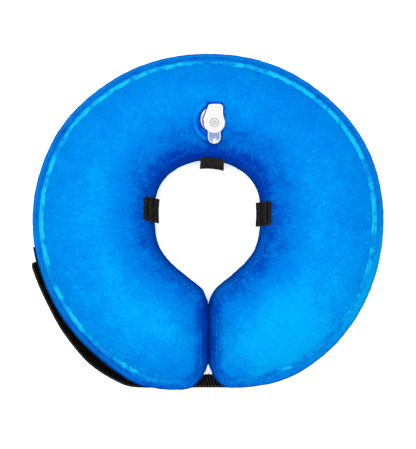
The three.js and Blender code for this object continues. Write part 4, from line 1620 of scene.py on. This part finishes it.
@dataclass
class Ridges:
    """The raised seams round both panels: a narrow ridge of pile with a painted highlight where it shows.

    Attributes:
        width, thickness, proud: the ridge's section, and how far it stands out.
        shift: how far out it is moved where it shows.
        cloth: width of a cell of its pile, laid flat.
        steps, corners: cells along it and round it.
    """

    width: float = 8.6
    thickness: float = 3.6
    proud: float = 1.1
    shift: float = 0.7
    cloth: float = 1.3
    steps: int = 1500
    corners: int = 12

    def place(self, here: Station, corner: int, side: int) -> Vector:
        """A point of the ridge.

        Args:
            here: its station.
            corner: which corner of the section it is.
            side: 1 above, -1 below.

        Returns:
            The point.
        """
        angle = math.tau * corner / self.corners
        seed = Seed.RIDGE_ABOVE if side > 0 else Seed.RIDGE_BELOW
        swell = 0.3 * ripple(here.along / 5, angle, seed) + 0.22 * ripple(here.along / 1.9, angle, seed + 3)
        sway = 0.55 * ripple(here.along / 24, 0.3, seed + 7) + 0.3 * ripple(here.along / 7, 0.7, seed + 5)
        show = self.showing(here)
        swell = 1 + swell * show
        depth = self.thickness / 2 - self.proud * lerp(0.02, 1, show)
        across = self.width / 2 * lerp(0.7, 1, show) * math.cos(angle) * swell + sway * show
        out = self.thickness / 2 * math.sin(angle) * swell - depth
        slope = RING.seam_slope
        section = here.section
        inset = section.inset + self.shift * show + across * math.cos(slope) - out * math.sin(slope)
        height = section.height + self.shift * show + across * math.sin(slope) + out * math.cos(slope)
        return here.point(inset, side * height)

    def build(self) -> list[Object]:
        """Makes and dresses both ridges.

        Returns:
            The upper and the lower ridge.
        """
        # Its material carries the ridge's painted highlight.
        crushed = RidgeFinish().build("ridge_pile_painted_highlight")
        line = Line(RING.outer_stations() + RING.neck_stations(), self.steps, True)
        made = []
        for name, node, side in (("ridge_upper", "upper_seam", 1), ("ridge_lower", "lower_seam", -1)):
            grid = Grid(self.steps, self.corners, True)
            grid.shape(lambda step, row: self.place(line.stations[step], row, side))
            grid.paint("shade", self.shade(line))
            grid.unwrap(lambda step, row: (line.length * step / self.steps, row * self.cloth))
            bmesh.ops.remove_doubles(grid.mesh, verts=grid.mesh.verts, dist=0.001)
            bmesh.ops.recalc_face_normals(grid.mesh, faces=grid.mesh.faces)
            piece = finished(grid.mesh, name, crushed)
            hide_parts(node)
            made.append(piece)
        return made

    @staticmethod
    def showing(here: Station) -> float:
        """How far the ridge shows: fully on the outer seam, hardly at the slit and round the neck."""
        from_neck = here.edge.length - RING.neck(RING.turn_of(here.edge) % 360).length
        away = max(smooth(abs(here.edge.x), 10, 34), 0.75 * smooth(here.edge.y, -60, 0))
        return smooth(from_neck, 70, 112) * away

    def shade(self, line: Line) -> Shader:
        """The painted light and shade of each point of a ridge.

        Args:
            line: its stations.

        Returns:
            A function of step, row and point.
        """
        shown = [self.showing(here) for here in line.stations]

        def value(step: int, row: int, point: Vector) -> float:
            """The shade of one point."""
            turn = RING.turn_of(point) % 360
            here = line.stations[step]
            # A painted highlight where the ridge shows, broken into random patches and weaker at the front
            # and the right; painted shade at the slit and round the neck.
            front = smooth(min(turn, 360 - turn), 66, 26)
            patch = 0.46 * ripple(here.along / 26, 0.2, 71.5) + 0.44 * ripple(here.along / 8, 0.6, 72.5)
            back = bump(abs(turn - 180), 0, 75)
            dull = -0.3 - 0.15 * back if here.edge.length < 85 else -0.42
            right = 0.28 * bump(turn, 298, 22)
            return clamp(lerp(dull, 0.84 + patch - 0.46 * front - right, shown[step]), -0.7, 1)

        return value


# Strap and strip


@dataclass
class Strap:
    """The black strap that closes the slit, sewn under the right lobe, its free end on the left wall.

    Attributes:
        groups: the shared node groups.
        corner: radius of the free end's corners.
        rib, rib_depth, slant, radius: the ribs of its inner face, counted at that radius.
        length: its length, laid flat.
        worn: how worn its edges are.
        close: the share of its length from which its cells lie closer together.
        steps, rows: cells along and across it.
    """

    groups: Groups
    corner: float = 7
    rib: float = 3.5
    rib_depth: float = 0.45
    slant: float = 0.1
    radius: float = 190
    length: float = 350
    worn: float = 0.14
    close: float = 0.93
    steps: int = 900
    rows: int = 18

    def place(self, share: float, up: float) -> Vector:
        """A point of the strap's outer face.

        Args:
            share: the share of the way from the sewn end to the free one.
            up: the share of the width, from the lower edge.

        Returns:
            The point.
        """
        first, last = STRAP_TURNS[0], STRAP_TURNS[-1]
        turn = lerp(first, last, share)
        corner = self.corner / (math.radians(1) * RING.oval(last))
        near = clamp((turn - last + corner) / corner)
        cut = self.corner * (1 - math.sqrt(max(1 - near * near, 0))) / PRESS.width
        up = lerp(cut, 1 - cut, up)
        radius = PRESS.face(turn, up)
        flat = RING.turned(turn, radius)
        return Vector((flat.x, flat.y, PRESS.lower + PRESS.width * up))

    def share_of(self, step: int) -> float:
        """Share of the length at a step, with close steps at the round end."""
        share, left = step / self.steps, 1 - self.close
        if share < self.close:
            return share
        return self.close + left * math.sin((share - self.close) / left * math.pi / 2)

    def build(self) -> Object:
        """Makes and dresses the strap.

        Returns:
            The strap.
        """
        grid = Grid(self.steps, self.rows, False)
        grid.shape(lambda step, row: self.place(self.share_of(step), row / self.rows))
        grid.paint("wear_and_highlight", lambda step, row, _: self.worn if row in (0, self.rows) else 0.0)
        grid.unwrap(lambda step, row: (self.length * self.share_of(step), PRESS.width * row / self.rows))
        grid.face_out(Cover.ring_middle)
        thickened(grid.mesh, PRESS.thickness, self.ribs)
        wear_and_highlight = grid.mesh.verts.layers.float["wear_and_highlight"]
        # Painted highlights on the crowns of the inner face's ribs in the notch, and a little painted shade
        # between them.
        for vertex in grid.mesh.verts:
            inside = smooth(self.depth(vertex.co), 1.2, 2.0)
            crown = 1 + self.ribs(vertex.co) / self.rib_depth
            vertex[wear_and_highlight] += inside * (0.95 * crown ** 3 - 0.12) * self.in_notch(vertex.co)
        finish = TapeFinish(Tone.TAPE, Tone.TAPE_HIGHLIGHT_AND_WEAR, ribs=520, depth=0.0004, grey=0.06, shine=0.01)
        tape = finish.build("hook_tape", self.groups)
        piece = finished(grid.mesh, "strap_hook_tape", tape, 50)
        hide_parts("strap")
        return piece

    def depth(self, point: Vector) -> float:
        """How far in from the strap's outer face a point is."""
        up = (point.z - PRESS.lower) / PRESS.width
        return PRESS.face(RING.turn_of(point), up) - math.hypot(point.x, point.y)

    def ribs(self, point: Vector) -> float:
        """How far the ribs of the inner face stand in at a point, strongest in the notch."""
        turn = RING.turn_of(point)
        along = math.radians(turn) * self.radius + (point.z - PRESS.lower) * self.slant
        wave = 0.5 + 0.5 * math.sin(along / self.rib * math.tau)
        return -self.rib_depth * wave * self.in_notch(point)

    @staticmethod
    def in_notch(point: Vector) -> float:
        """How far a point of the strap lies within the notch, 1 in its middle."""
        return smooth(abs(RING.turn_of(point)), 12, 7)


@dataclass
class LandingStrip:
    """The strip of loop pile on the left wall that the strap fastens to.

    Attributes:
        groups: the shared node groups.
        first, last: the turns at which it starts and ends.
        low, high: levels of its edges on the wall.
        thickness, length, width: its size, laid flat.
        steps, rows: cells along and across it.
    """

    groups: Groups
    first: float = 31
    last: float = 82
    low: float = -0.8
    high: float = 0.33
    thickness: float = 1.5
    length: float = 180
    width: float = 33
    steps: int = 130
    rows: int = 16

    def build(self, cover: Cover) -> Object:
        """Makes and dresses the strip.

        Args:
            cover: the cover that it lies on.

        Returns:
            The strip.
        """
        line = Line(RING.outer_stations(), cover.outer_cells[0], False)
        stations = [
            here for here in line.stations
            if self.first < RING.turn_of(here.edge) < self.last
        ]
        grid = Grid(self.steps, self.rows, False)

        def where(step: int, row: int) -> Vector:
            """A point of the wall behind the strip, stood off by the strip's thickness."""
            here = stations[round(step / self.steps * (len(stations) - 1))]
            level = lerp(self.low, self.high, row / self.rows)
            point = PRESS.held(cover.wall_place(here, level))
            radius = math.hypot(point.x, point.y)
            stand = (radius + PRESS.strip) / radius
            return Vector((point.x * stand, point.y * stand, point.z))

        grid.shape(where)
        grid.paint("wear_and_highlight", lambda step, row, _: 0.0)
        grid.unwrap(lambda step, row: (self.length * step / self.steps, self.width * row / self.rows))
        grid.face_out(Cover.ring_middle)
        thickened(grid.mesh, self.thickness)
        finish = TapeFinish(Tone.TAPE, Tone.TAPE_HIGHLIGHT_AND_WEAR, ribs=700, depth=0.0006, grey=0.08, shine=0.01)
        piece = finished(grid.mesh, "landing_pile", finish.build("loop_pile", self.groups), 50)
        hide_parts("landing_strip")
        return piece


class LoopPath(Enum):
    """The ways of a loop down the neck wall, in rows of height, inset and bulge."""

    WALL = (
        (0.6, 0.27, 0), (0.51, 0.17, 0.06), (0.4, 0, 0.5), (0.2, 0, 0.92), (0, 0, 1),
        (-0.2, 0, 0.92), (-0.4, 0, 0.5), (-0.51, 0.17, 0.06), (-0.6, 0.27, 0),
    )
    SEAM = (
        (1.15, 1.2, 0), (1.07, 0.88, 0.1), (0.89, 0.45, 0.3), (0.6, 0.1, 0.62), (0.3, 0, 0.9),
        (0, 0, 1), (-0.3, 0, 0.86), (-0.52, 0.14, 0.3), (-0.72, 0.44, 0),
    )


@dataclass
class WebbingLoop:
    """A black webbing loop across the neck wall, for the pet's own collar.

    Attributes:
        node: the solid that it stands for.
        turn: where it sits.
        bulge: how far it stands into the hole.
        path: its way down the wall.
        length, width, thickness: its size, laid flat.
        clearance: its gap from the wall, where it lies on it.
        ribs, rib_depth, scallop: its woven ribs, and how far they stand out at its edges.
        corner: how far its ends are drawn in.
        steps, across: cells along and across it.
    """

    node: str
    turn: float
    bulge: float
    path: LoopPath
    length: float
    width: float = 27
    thickness: float = 1.6
    clearance: float = 0.4
    ribs: int = 24
    rib_depth: float = 0.22
    scallop: float = 0.34
    corner: float = 1.6
    steps: int = 90
    across: int = 36

    def guide(self, share: float) -> tuple[float, float]:
        """How far in and how high the webbing lies.

        Args:
            share: the share of its length.

        Returns:
            Both, in millimetres.
        """
        rows = self.path.value
        places = tuple(float(index) for index in range(len(rows)))
        insets = tuple(
            NECK_SECTION.inset * inset - self.bulge * bulge - self.clearance * (1 - bulge)
            for _, inset, bulge in rows
        )
        heights = tuple(NECK_SECTION.height * height for height, _, _ in rows)
        at = share * (len(rows) - 1)
        return Curve(places, insets).at(at), Curve(places, heights).at(at)

    def place(self, step: int, row: int) -> Vector:
        """A point of the webbing's outer face, with its ribs and its scalloped edges.

        Args:
            step, row: its cell.

        Returns:
            The point.
        """
        inset, height = self.guide(step / self.steps)
        wave = math.sin(step / self.steps * math.tau * self.ribs)
        edge = abs(row / self.across - 0.5) * 2
        end = min(step, self.steps - step) / self.steps
        drawn_in = self.corner * (1 - clamp(end / 0.035)) ** 2
        reach = self.width / 2 - drawn_in + self.scallop * wave * smooth(edge, 0.9, 1)
        middle = RING.neck(self.turn)
        per_degree = (RING.neck(self.turn + 0.5) - RING.neck(self.turn - 0.5)).length
        at = self.turn + (row / self.across * 2 - 1) * reach / per_degree
        place = RING.neck(at) + middle.normalized() * (inset - self.rib_depth * wave)
        return Vector((place.x, place.y, RING.height / 2 + height))

    def build(self, webbing: Material) -> Object:
        """Makes and dresses the loop.

        Args:
            webbing: its material.

        Returns:
            The loop.
        """
        grid = Grid(self.steps, self.across, False)
        grid.shape(self.place)
        grid.paint("wear_and_highlight", lambda step, row, _: 0.3 * smooth(abs(row / self.across - 0.5), 0.44, 0.5))
        grid.unwrap(lambda step, row: (self.length * step / self.steps, self.width * row / self.across))
        middle = RING.neck(self.turn) * 1.6
        grid.face_out(lambda _: Vector((middle.x, middle.y, RING.height / 2)))
        thickened(grid.mesh, self.thickness)
        piece = finished(grid.mesh, "webbing_" + self.node, webbing, 60)
        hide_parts(self.node)
        return piece


# Valve


@dataclass
class Valve:
    """The clear inflation valve: base, stopper with its rings, hinge tongue and pull tab.

    Attributes:
        clearance, slack: the gap below the flange, and between stopper and stem.
        stem, stem_height, stem_depth, bore: the stem, up from the flange and down into the ring.
        cap_thickness, plug_length: of the stopper.
        tongue_width, tongue_corner, tongue_thickness: the hinge tongue.
        tongue_drop, hinge_drop: how far its underside and its hinge's top lie below the cap's top.
        tongue_spread, tongue_shift: how much wider its root is, and how far right it lies.
        tongue_dim: how much of the painted shade of its sunken middle it shows.
        hinge_depth, tab_thickness: the hinge and the pull tab.
        rim, floor: width of the rim of tongue and tab, and how far their middle is sunk.
    """

    clearance: float = 0.4
    stem: float = 8.5
    stem_height: float = 6.5
    stem_depth: float = 9
    bore: float = 5.2
    slack: float = 0.3
    cap_thickness: float = 2.6
    plug_length: float = 9
    tongue_width: float = 17
    tongue_corner: float = 3.5
    tongue_thickness: float = 1.8
    tongue_drop: float = 2.9
    tongue_spread: float = 5.2
    tongue_shift: float = 1.1
    tongue_dim: float = 0.12
    hinge_drop: float = 1.3
    hinge_depth: float = 1.8
    tab_thickness: float = 1.3
    rim: float = 1.3
    floor: float = 0.35

    @property
    def cap_base(self) -> float:
        """Height of the cap's underside."""
        return self.clearance + self.stem_height + self.slack

    @property
    def cap_top(self) -> float:
        """Height of the cap's top."""
        return self.cap_base + self.cap_thickness

    def turned(self, profile: list[tuple[float, float]], faces: int = 72) -> BMesh:
        """A turned body.

        Args:
            profile: radius and height of each corner, from the axis or closed on itself.
            faces: how many faces it has round.

        Returns:
            The body in the valve's own frame.
        """
        mesh = bmesh.new()
        points = [mesh.verts.new((radius, 0, height)) for radius, height in profile]
        edges = [mesh.edges.new(pair) for pair in zip(points, points[1:])]
        if profile[0][0] > 0:
            edges.append(mesh.edges.new((points[-1], points[0])))
        bmesh.ops.spin(
            mesh, geom=points + edges, cent=(0, 0, 0), axis=(0, 0, 1), dvec=(0, 0, 0),
            angle=math.tau, steps=faces, use_merge=True,
        )
        bmesh.ops.remove_doubles(mesh, verts=mesh.verts, dist=0.001)
        bmesh.ops.recalc_face_normals(mesh, faces=mesh.faces)
        return mesh

    def tongue(
        self, width: float, reach: float, corner: float, thickness: float, height: float,
        spread: float = 0.0,
    ) -> BMesh:
        """A flat tongue from the middle of the valve, with a round end and a sunken middle.

        Args:
            width: its width.
            reach: how far along Y it goes, either way.
            corner: radius of its corners.
            thickness: how thick it is.
            height: height of its underside.
            spread: how much wider its left side is at the root.

        Returns:
            The tongue in the valve's own frame.
        """
        mesh = bmesh.new()
        half, way = width / 2, math.copysign(1, reach)
        outline = [(-half, 0.0)]
        if spread:
            outline = [(-half, PLAN.root_end), (-half - spread, PLAN.root_y)]
        for side in (-1, 1):
            for step in range(9):
                angle = math.pi / 2 * (step / 8 if side < 0 else 1 - step / 8)
                x = side * (half - corner + corner * math.cos(angle))
                y = reach - way * corner + way * corner * math.sin(angle)
                outline.append((x, y))
        outline.append((half, 0.0))
        base = mesh.faces.new([mesh.verts.new((x, y, height)) for x, y in outline])
        made = bmesh.ops.extrude_face_region(mesh, geom=[base], use_keep_orig=True)
        upper = [item for item in made["geom"] if isinstance(item, BMVert)]
        lid = [item for item in made["geom"] if isinstance(item, BMFace)]
        bmesh.ops.translate(mesh, verts=upper, vec=(0, 0, thickness))
        bmesh.ops.remove_doubles(mesh, verts=mesh.verts, dist=0.001)
        bmesh.ops.recalc_face_normals(mesh, faces=mesh.faces)
        bmesh.ops.inset_region(mesh, faces=lid, thickness=self.rim, use_even_offset=True)
        bmesh.ops.inset_region(mesh, faces=lid, thickness=0.5, depth=-self.floor, use_even_offset=True)
        # Marks the sunken middle: on the hinge tongue a faint painted shade, on the pull tab its thin bluish
        # tint.
        hollow_shade = mesh.verts.layers.float.new("hollow_shade")
        for face in lid:
            for vertex in face.verts:
                vertex[hollow_shade] = 0.9
        rims = [
            edge for edge in mesh.edges
            if len(edge.link_faces) == 2 and edge.calc_face_angle() > 0.9 and not edge.verts[0][hollow_shade]
        ]
        bmesh.ops.bevel(
            mesh, geom=rims, offset=0.4, offset_type="OFFSET", segments=3, profile=0.5, affect="EDGES",
            material=-1,
        )
        return mesh

    def placed(self, mesh: BMesh) -> BMesh:
        """Moves a body from the valve's own frame onto the panel."""
        bmesh.ops.transform(mesh, matrix=SEAT.frame, verts=mesh.verts)
        return mesh

    def body(self) -> BMesh:
        """The flange, off the middle of the stem, and the stem with its bore."""
        seat = self.clearance
        top = seat + self.stem_height
        edge, inner = PLAN.flange, self.bore + 4
        base = self.turned([
            (inner, seat), (edge - 0.4, seat), (edge - 0.05, seat + 0.25), (edge, seat + 0.7),
            (edge - 0.35, seat + 1.2), (edge - 1, seat + 1.4), (edge - 1.6, seat + 1.35),
            (edge - 2.1, seat + 1.1), (edge - 2.6, seat + 1.05), (inner, seat + 1.2),
        ])
        for vertex in base.verts:
            if vertex.co.x > 0:
                vertex.co.x *= PLAN.squeeze
        bmesh.ops.translate(base, vec=(PLAN.flange_x, PLAN.flange_y, 0), verts=base.verts)
        bmesh.ops.subdivide_edges(
            base, edges=[edge for edge in base.edges if edge.calc_length() > 2.5], cuts=5, use_grid_fill=True,
        )
        # Painted shadow on the flange in the gap under the cap and the tongue's root.
        gap = base.verts.layers.float.new("hollow_shade")
        for vertex in base.verts:
            vertex[gap] = PLAN.gap_shadow_at(vertex.co) if vertex.co.x < 2 else 0.0
        wall, foot = self.stem, -self.stem_depth
        stem = self.turned([
            (self.bore, foot), (wall - 0.4, foot), (wall, foot + 0.4), (wall, seat + 0.8),
            (wall + 1.5, seat + 1.25), (wall + 0.5, seat + 1.7), (wall, seat + 2.4), (wall, top - 0.4),
            (wall - 0.4, top), (self.bore, top),
        ])
        return self.joined(base, stem)

    @staticmethod
    def joined(body: BMesh, *others: BMesh) -> BMesh:
        """Adds other bodies to a body.

        Args:
            body: the body that is kept.
            *others: the bodies that are added to it and freed.

        Returns:
            The body.
        """
        for other in others:
            data = bpy.data.meshes.new("part_of_valve")
            other.to_mesh(data)
            other.free()
            body.from_mesh(data)
            bpy.data.meshes.remove(data)
        return body

    def hinge_tongue(self) -> BMesh:
        """The tongue that holds the stopper to the flange, in the valve's own frame."""
        height = self.cap_top - self.tongue_drop
        tongue = self.tongue(
            self.tongue_width, PLAN.tongue_reach, self.tongue_corner, self.tongue_thickness, height,
            self.tongue_spread,
        )
        # Only a faint painted shade in the tongue's sunken middle.
        hollow_shade = tongue.verts.layers.float["hollow_shade"]
        for vertex in tongue.verts:
            vertex[hollow_shade] *= self.tongue_dim
        bmesh.ops.translate(tongue, vec=(self.tongue_shift, 0, 0), verts=tongue.verts)
        return tongue

    def hinge(self) -> BMesh:
        """The post at the end of the tongue, down to the flange, in the valve's own frame."""
        foot, head = self.clearance * 2 + 1.4, self.cap_top - self.hinge_drop
        hinge = bmesh.new()
        bmesh.ops.create_cube(hinge, size=1)
        size = (self.tongue_width - self.tongue_corner * 2, self.hinge_depth, head - foot)
        bmesh.ops.scale(hinge, vec=size, verts=hinge.verts)
        middle = (self.tongue_shift, PLAN.tongue_reach - self.hinge_depth / 2, (head + foot) / 2)
        bmesh.ops.translate(hinge, vec=middle, verts=hinge.verts)
        bmesh.ops.bevel(
            hinge, geom=hinge.edges, offset=0.35, segments=2, profile=0.5, affect="EDGES", material=-1,
        )
        return hinge

    def cap_body(self) -> BMesh:
        """The cap with its rings, and the plug below it."""
        base, top = self.cap_base, self.cap_top
        plug, foot = self.bore - self.slack, self.cap_base - self.plug_length
        r = PLAN.cap
        below = [
            (0, foot), (plug - 1.4, foot), (plug - 0.4, base - 7.9), (plug, base - 7), (plug, base),
            (r - 0.7, base), (r - 0.1, base + 0.3), (r, base + 0.8), (r, top - 0.9), (r - 0.25, top - 0.3),
            (r - 0.8, top),
        ]
        rings = [
            (0.84, 0.05), (0.79, -0.15), (0.76, -0.6), (0.67, -0.65), (0.64, -0.25), (0.58, -0.15),
            (0.5, -0.2), (0.47, -0.35), (0.44, -0.85), (0.34, -0.85), (0.31, -0.35), (0.29, -0.2),
            (0.25, -0.25), (0.225, -0.45), (0.21, -0.9), (0.1, -0.9), (0.08, -0.45), (0.04, -0.3), (0, -0.3),
        ]
        mesh = self.turned(below + [(r * share, top + height) for share, height in rings])
        # Painted shade in the grooves of the cap's rings, deeper ones darker, strongest near the middle.
        hollow_shade = mesh.verts.layers.float.new("hollow_shade")
        for vertex in mesh.verts:
            radius = math.hypot(vertex.co.x, vertex.co.y)
            if radius < r * 0.75 and vertex.co.z > base + 1:
                vertex[hollow_shade] = (1.0 if radius < r * 0.5 else 0.5) * smooth(top - vertex.co.z, 0.25, 0.7)
        return mesh

    def build(self) -> list[Object]:
        """Makes and dresses the valve.

        Returns:
            The base and the stopper.
        """
        milky = VinylFinish(Tone.VINYL_SHADE, clear=0.05).build("clear_vinyl")
        gap_shadowed = VinylFinish(Tone.VINYL_GAP_SHADOW, clear=0.05).build("vinyl_painted_gap_shadow")
        thin = VinylFinish(Tone.VINYL_THIN, clear=0.3, roughness=0.14).build("thin_vinyl")
        base = finished(self.placed(self.body()), "valve_base", gap_shadowed, 40)
        stopper = self.joined(self.cap_body(), self.hinge_tongue(), self.hinge())
        cap = finished(self.placed(stopper), "valve_stopper_cap", milky, 40)
        tab = self.tongue(PLAN.tab * 2, -PLAN.tab_reach, PLAN.tab, self.tab_thickness, self.cap_base + 0.2)
        pull = finished(self.placed(tab), "valve_pull_tab", thin, 40)
        for piece, node in ((base, "valve_body"), (cap, "valve_stopper"), (pull, "valve_stopper")):
            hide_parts(node)
        return [base, cap, pull]


# Studio


@dataclass
class Studio:
    """A pale floor, soft light from above and a camera straight over the collar.

    Attributes:
        scale: millimetres to a pixel at the ring's widest line.
        distance: from the camera to that line, in metres.
        image, middle: size of the image, and the pixel over the origin.
        sensor: height of the camera's sensor, in millimetres.
        below: how far the floor lies below the collar, in metres.
        sky: strength of the light from all round.
    """

    scale: float = 1.1595
    distance: float = 1.4
    image: tuple[int, int] = (416, 449)
    middle: tuple[float, float] = (208.0, 222.0)
    sensor: float = 24
    below: float = 0.0004
    sky: float = 0.55

    def floor(self) -> Object:
        """Lays the floor."""
        mesh = bmesh.new()
        bmesh.ops.create_grid(mesh, x_segments=4, y_segments=4, size=3)
        bmesh.ops.translate(mesh, verts=mesh.verts, vec=(0, 0, -self.below))
        data = bpy.data.meshes.new("floor")
        mesh.to_mesh(data)
        mesh.free()
        data.materials.append(floor_material())
        floor = bpy.data.objects.new("floor", data)
        bpy.context.scene.collection.objects.link(floor)
        return floor

    def lamp(self, name: str, place: tuple[float, float, float], size: float, power: float) -> None:
        """Hangs a square soft light that looks at the collar.

        Args:
            name: its name.
            place, size: where it hangs, and its side, in metres.
            power: its power, in watts.
        """
        data = bpy.data.lights.new(name, "AREA")
        data.energy = power
        data.size = size
        lamp = bpy.data.objects.new(name, data)
        lamp.location = place
        lamp.rotation_euler = (-Vector(place)).to_track_quat("-Z", "Y").to_euler()
        bpy.context.scene.collection.objects.link(lamp)

    def light(self) -> None:
        """Sets the world and the lamps."""
        world = bpy.data.worlds.new("studio")
        world.use_nodes = True
        sky = world.node_tree.nodes["Background"]
        Nodes(world.node_tree).fill(sky, Color=(1, 1, 1, 1), Strength=self.sky)
        bpy.context.scene.world = world
        self.lamp("key", (-0.1, 0.12, 2.45), 1.2, 60)

    def camera(self) -> None:
        """Sets the camera over the collar, at the photograph's angle."""
        data = bpy.data.cameras.new("camera")
        data.sensor_fit = "VERTICAL"
        data.sensor_height = self.sensor
        data.sensor_width = self.sensor * self.image[0] / self.image[1]
        field = self.image[1] * self.scale * MM
        data.lens = data.sensor_height * self.distance / field
        data.clip_start = 0.05
        camera = bpy.data.objects.new("camera", data)
        drop = (self.middle[1] - self.image[1] / 2) * self.scale * MM
        camera.location = (0, drop, RING.height / 2 * MM + self.distance)
        bpy.context.scene.collection.objects.link(camera)
        bpy.context.scene.camera = camera

    def build(self) -> None:
        """Sets up the whole studio."""
        self.floor()
        self.light()
        self.camera()
        bpy.context.scene.view_settings.view_transform = "Standard"


def report(pieces: list[Object]) -> None:
    """Logs each piece with its number of triangles."""
    for piece in pieces:
        data = piece.evaluated_get(bpy.context.evaluated_depsgraph_get()).to_mesh()
        triangles = sum(len(face.vertices) - 2 for face in data.polygons)
        LOG.info("%s: %d triangles", piece.name, triangles)


def main() -> None:
    """Builds the studio and the collar, piece by piece."""
    logging.basicConfig(level=logging.INFO, format="%(name)s: %(message)s")
    Studio().build()
    groups = Groups()
    cover = Cover(groups)
    report(cover.build())
    report(Ridges().build())
    report([LandingStrip(groups).build(cover)])
    report([Strap(groups).build()])
    finish = TapeFinish(Tone.WEB_DARK, Tone.WEB_HIGHLIGHT_AND_WEAR, ribs=560, depth=0.0005, grey=0.5)
    webbing = finish.build("webbing", groups)
    loops = [
        WebbingLoop("loop_top", 184.6, 9.3, LoopPath.WALL, 44.8),
        WebbingLoop("loop_left", 102, 4.6, LoopPath.SEAM, 53.2),
        WebbingLoop("loop_right", 262, 4.6, LoopPath.SEAM, 53.2),
    ]
    report([loop.build(webbing) for loop in loops])
    report(Valve().build())


if __name__ == "__main__":
    main()
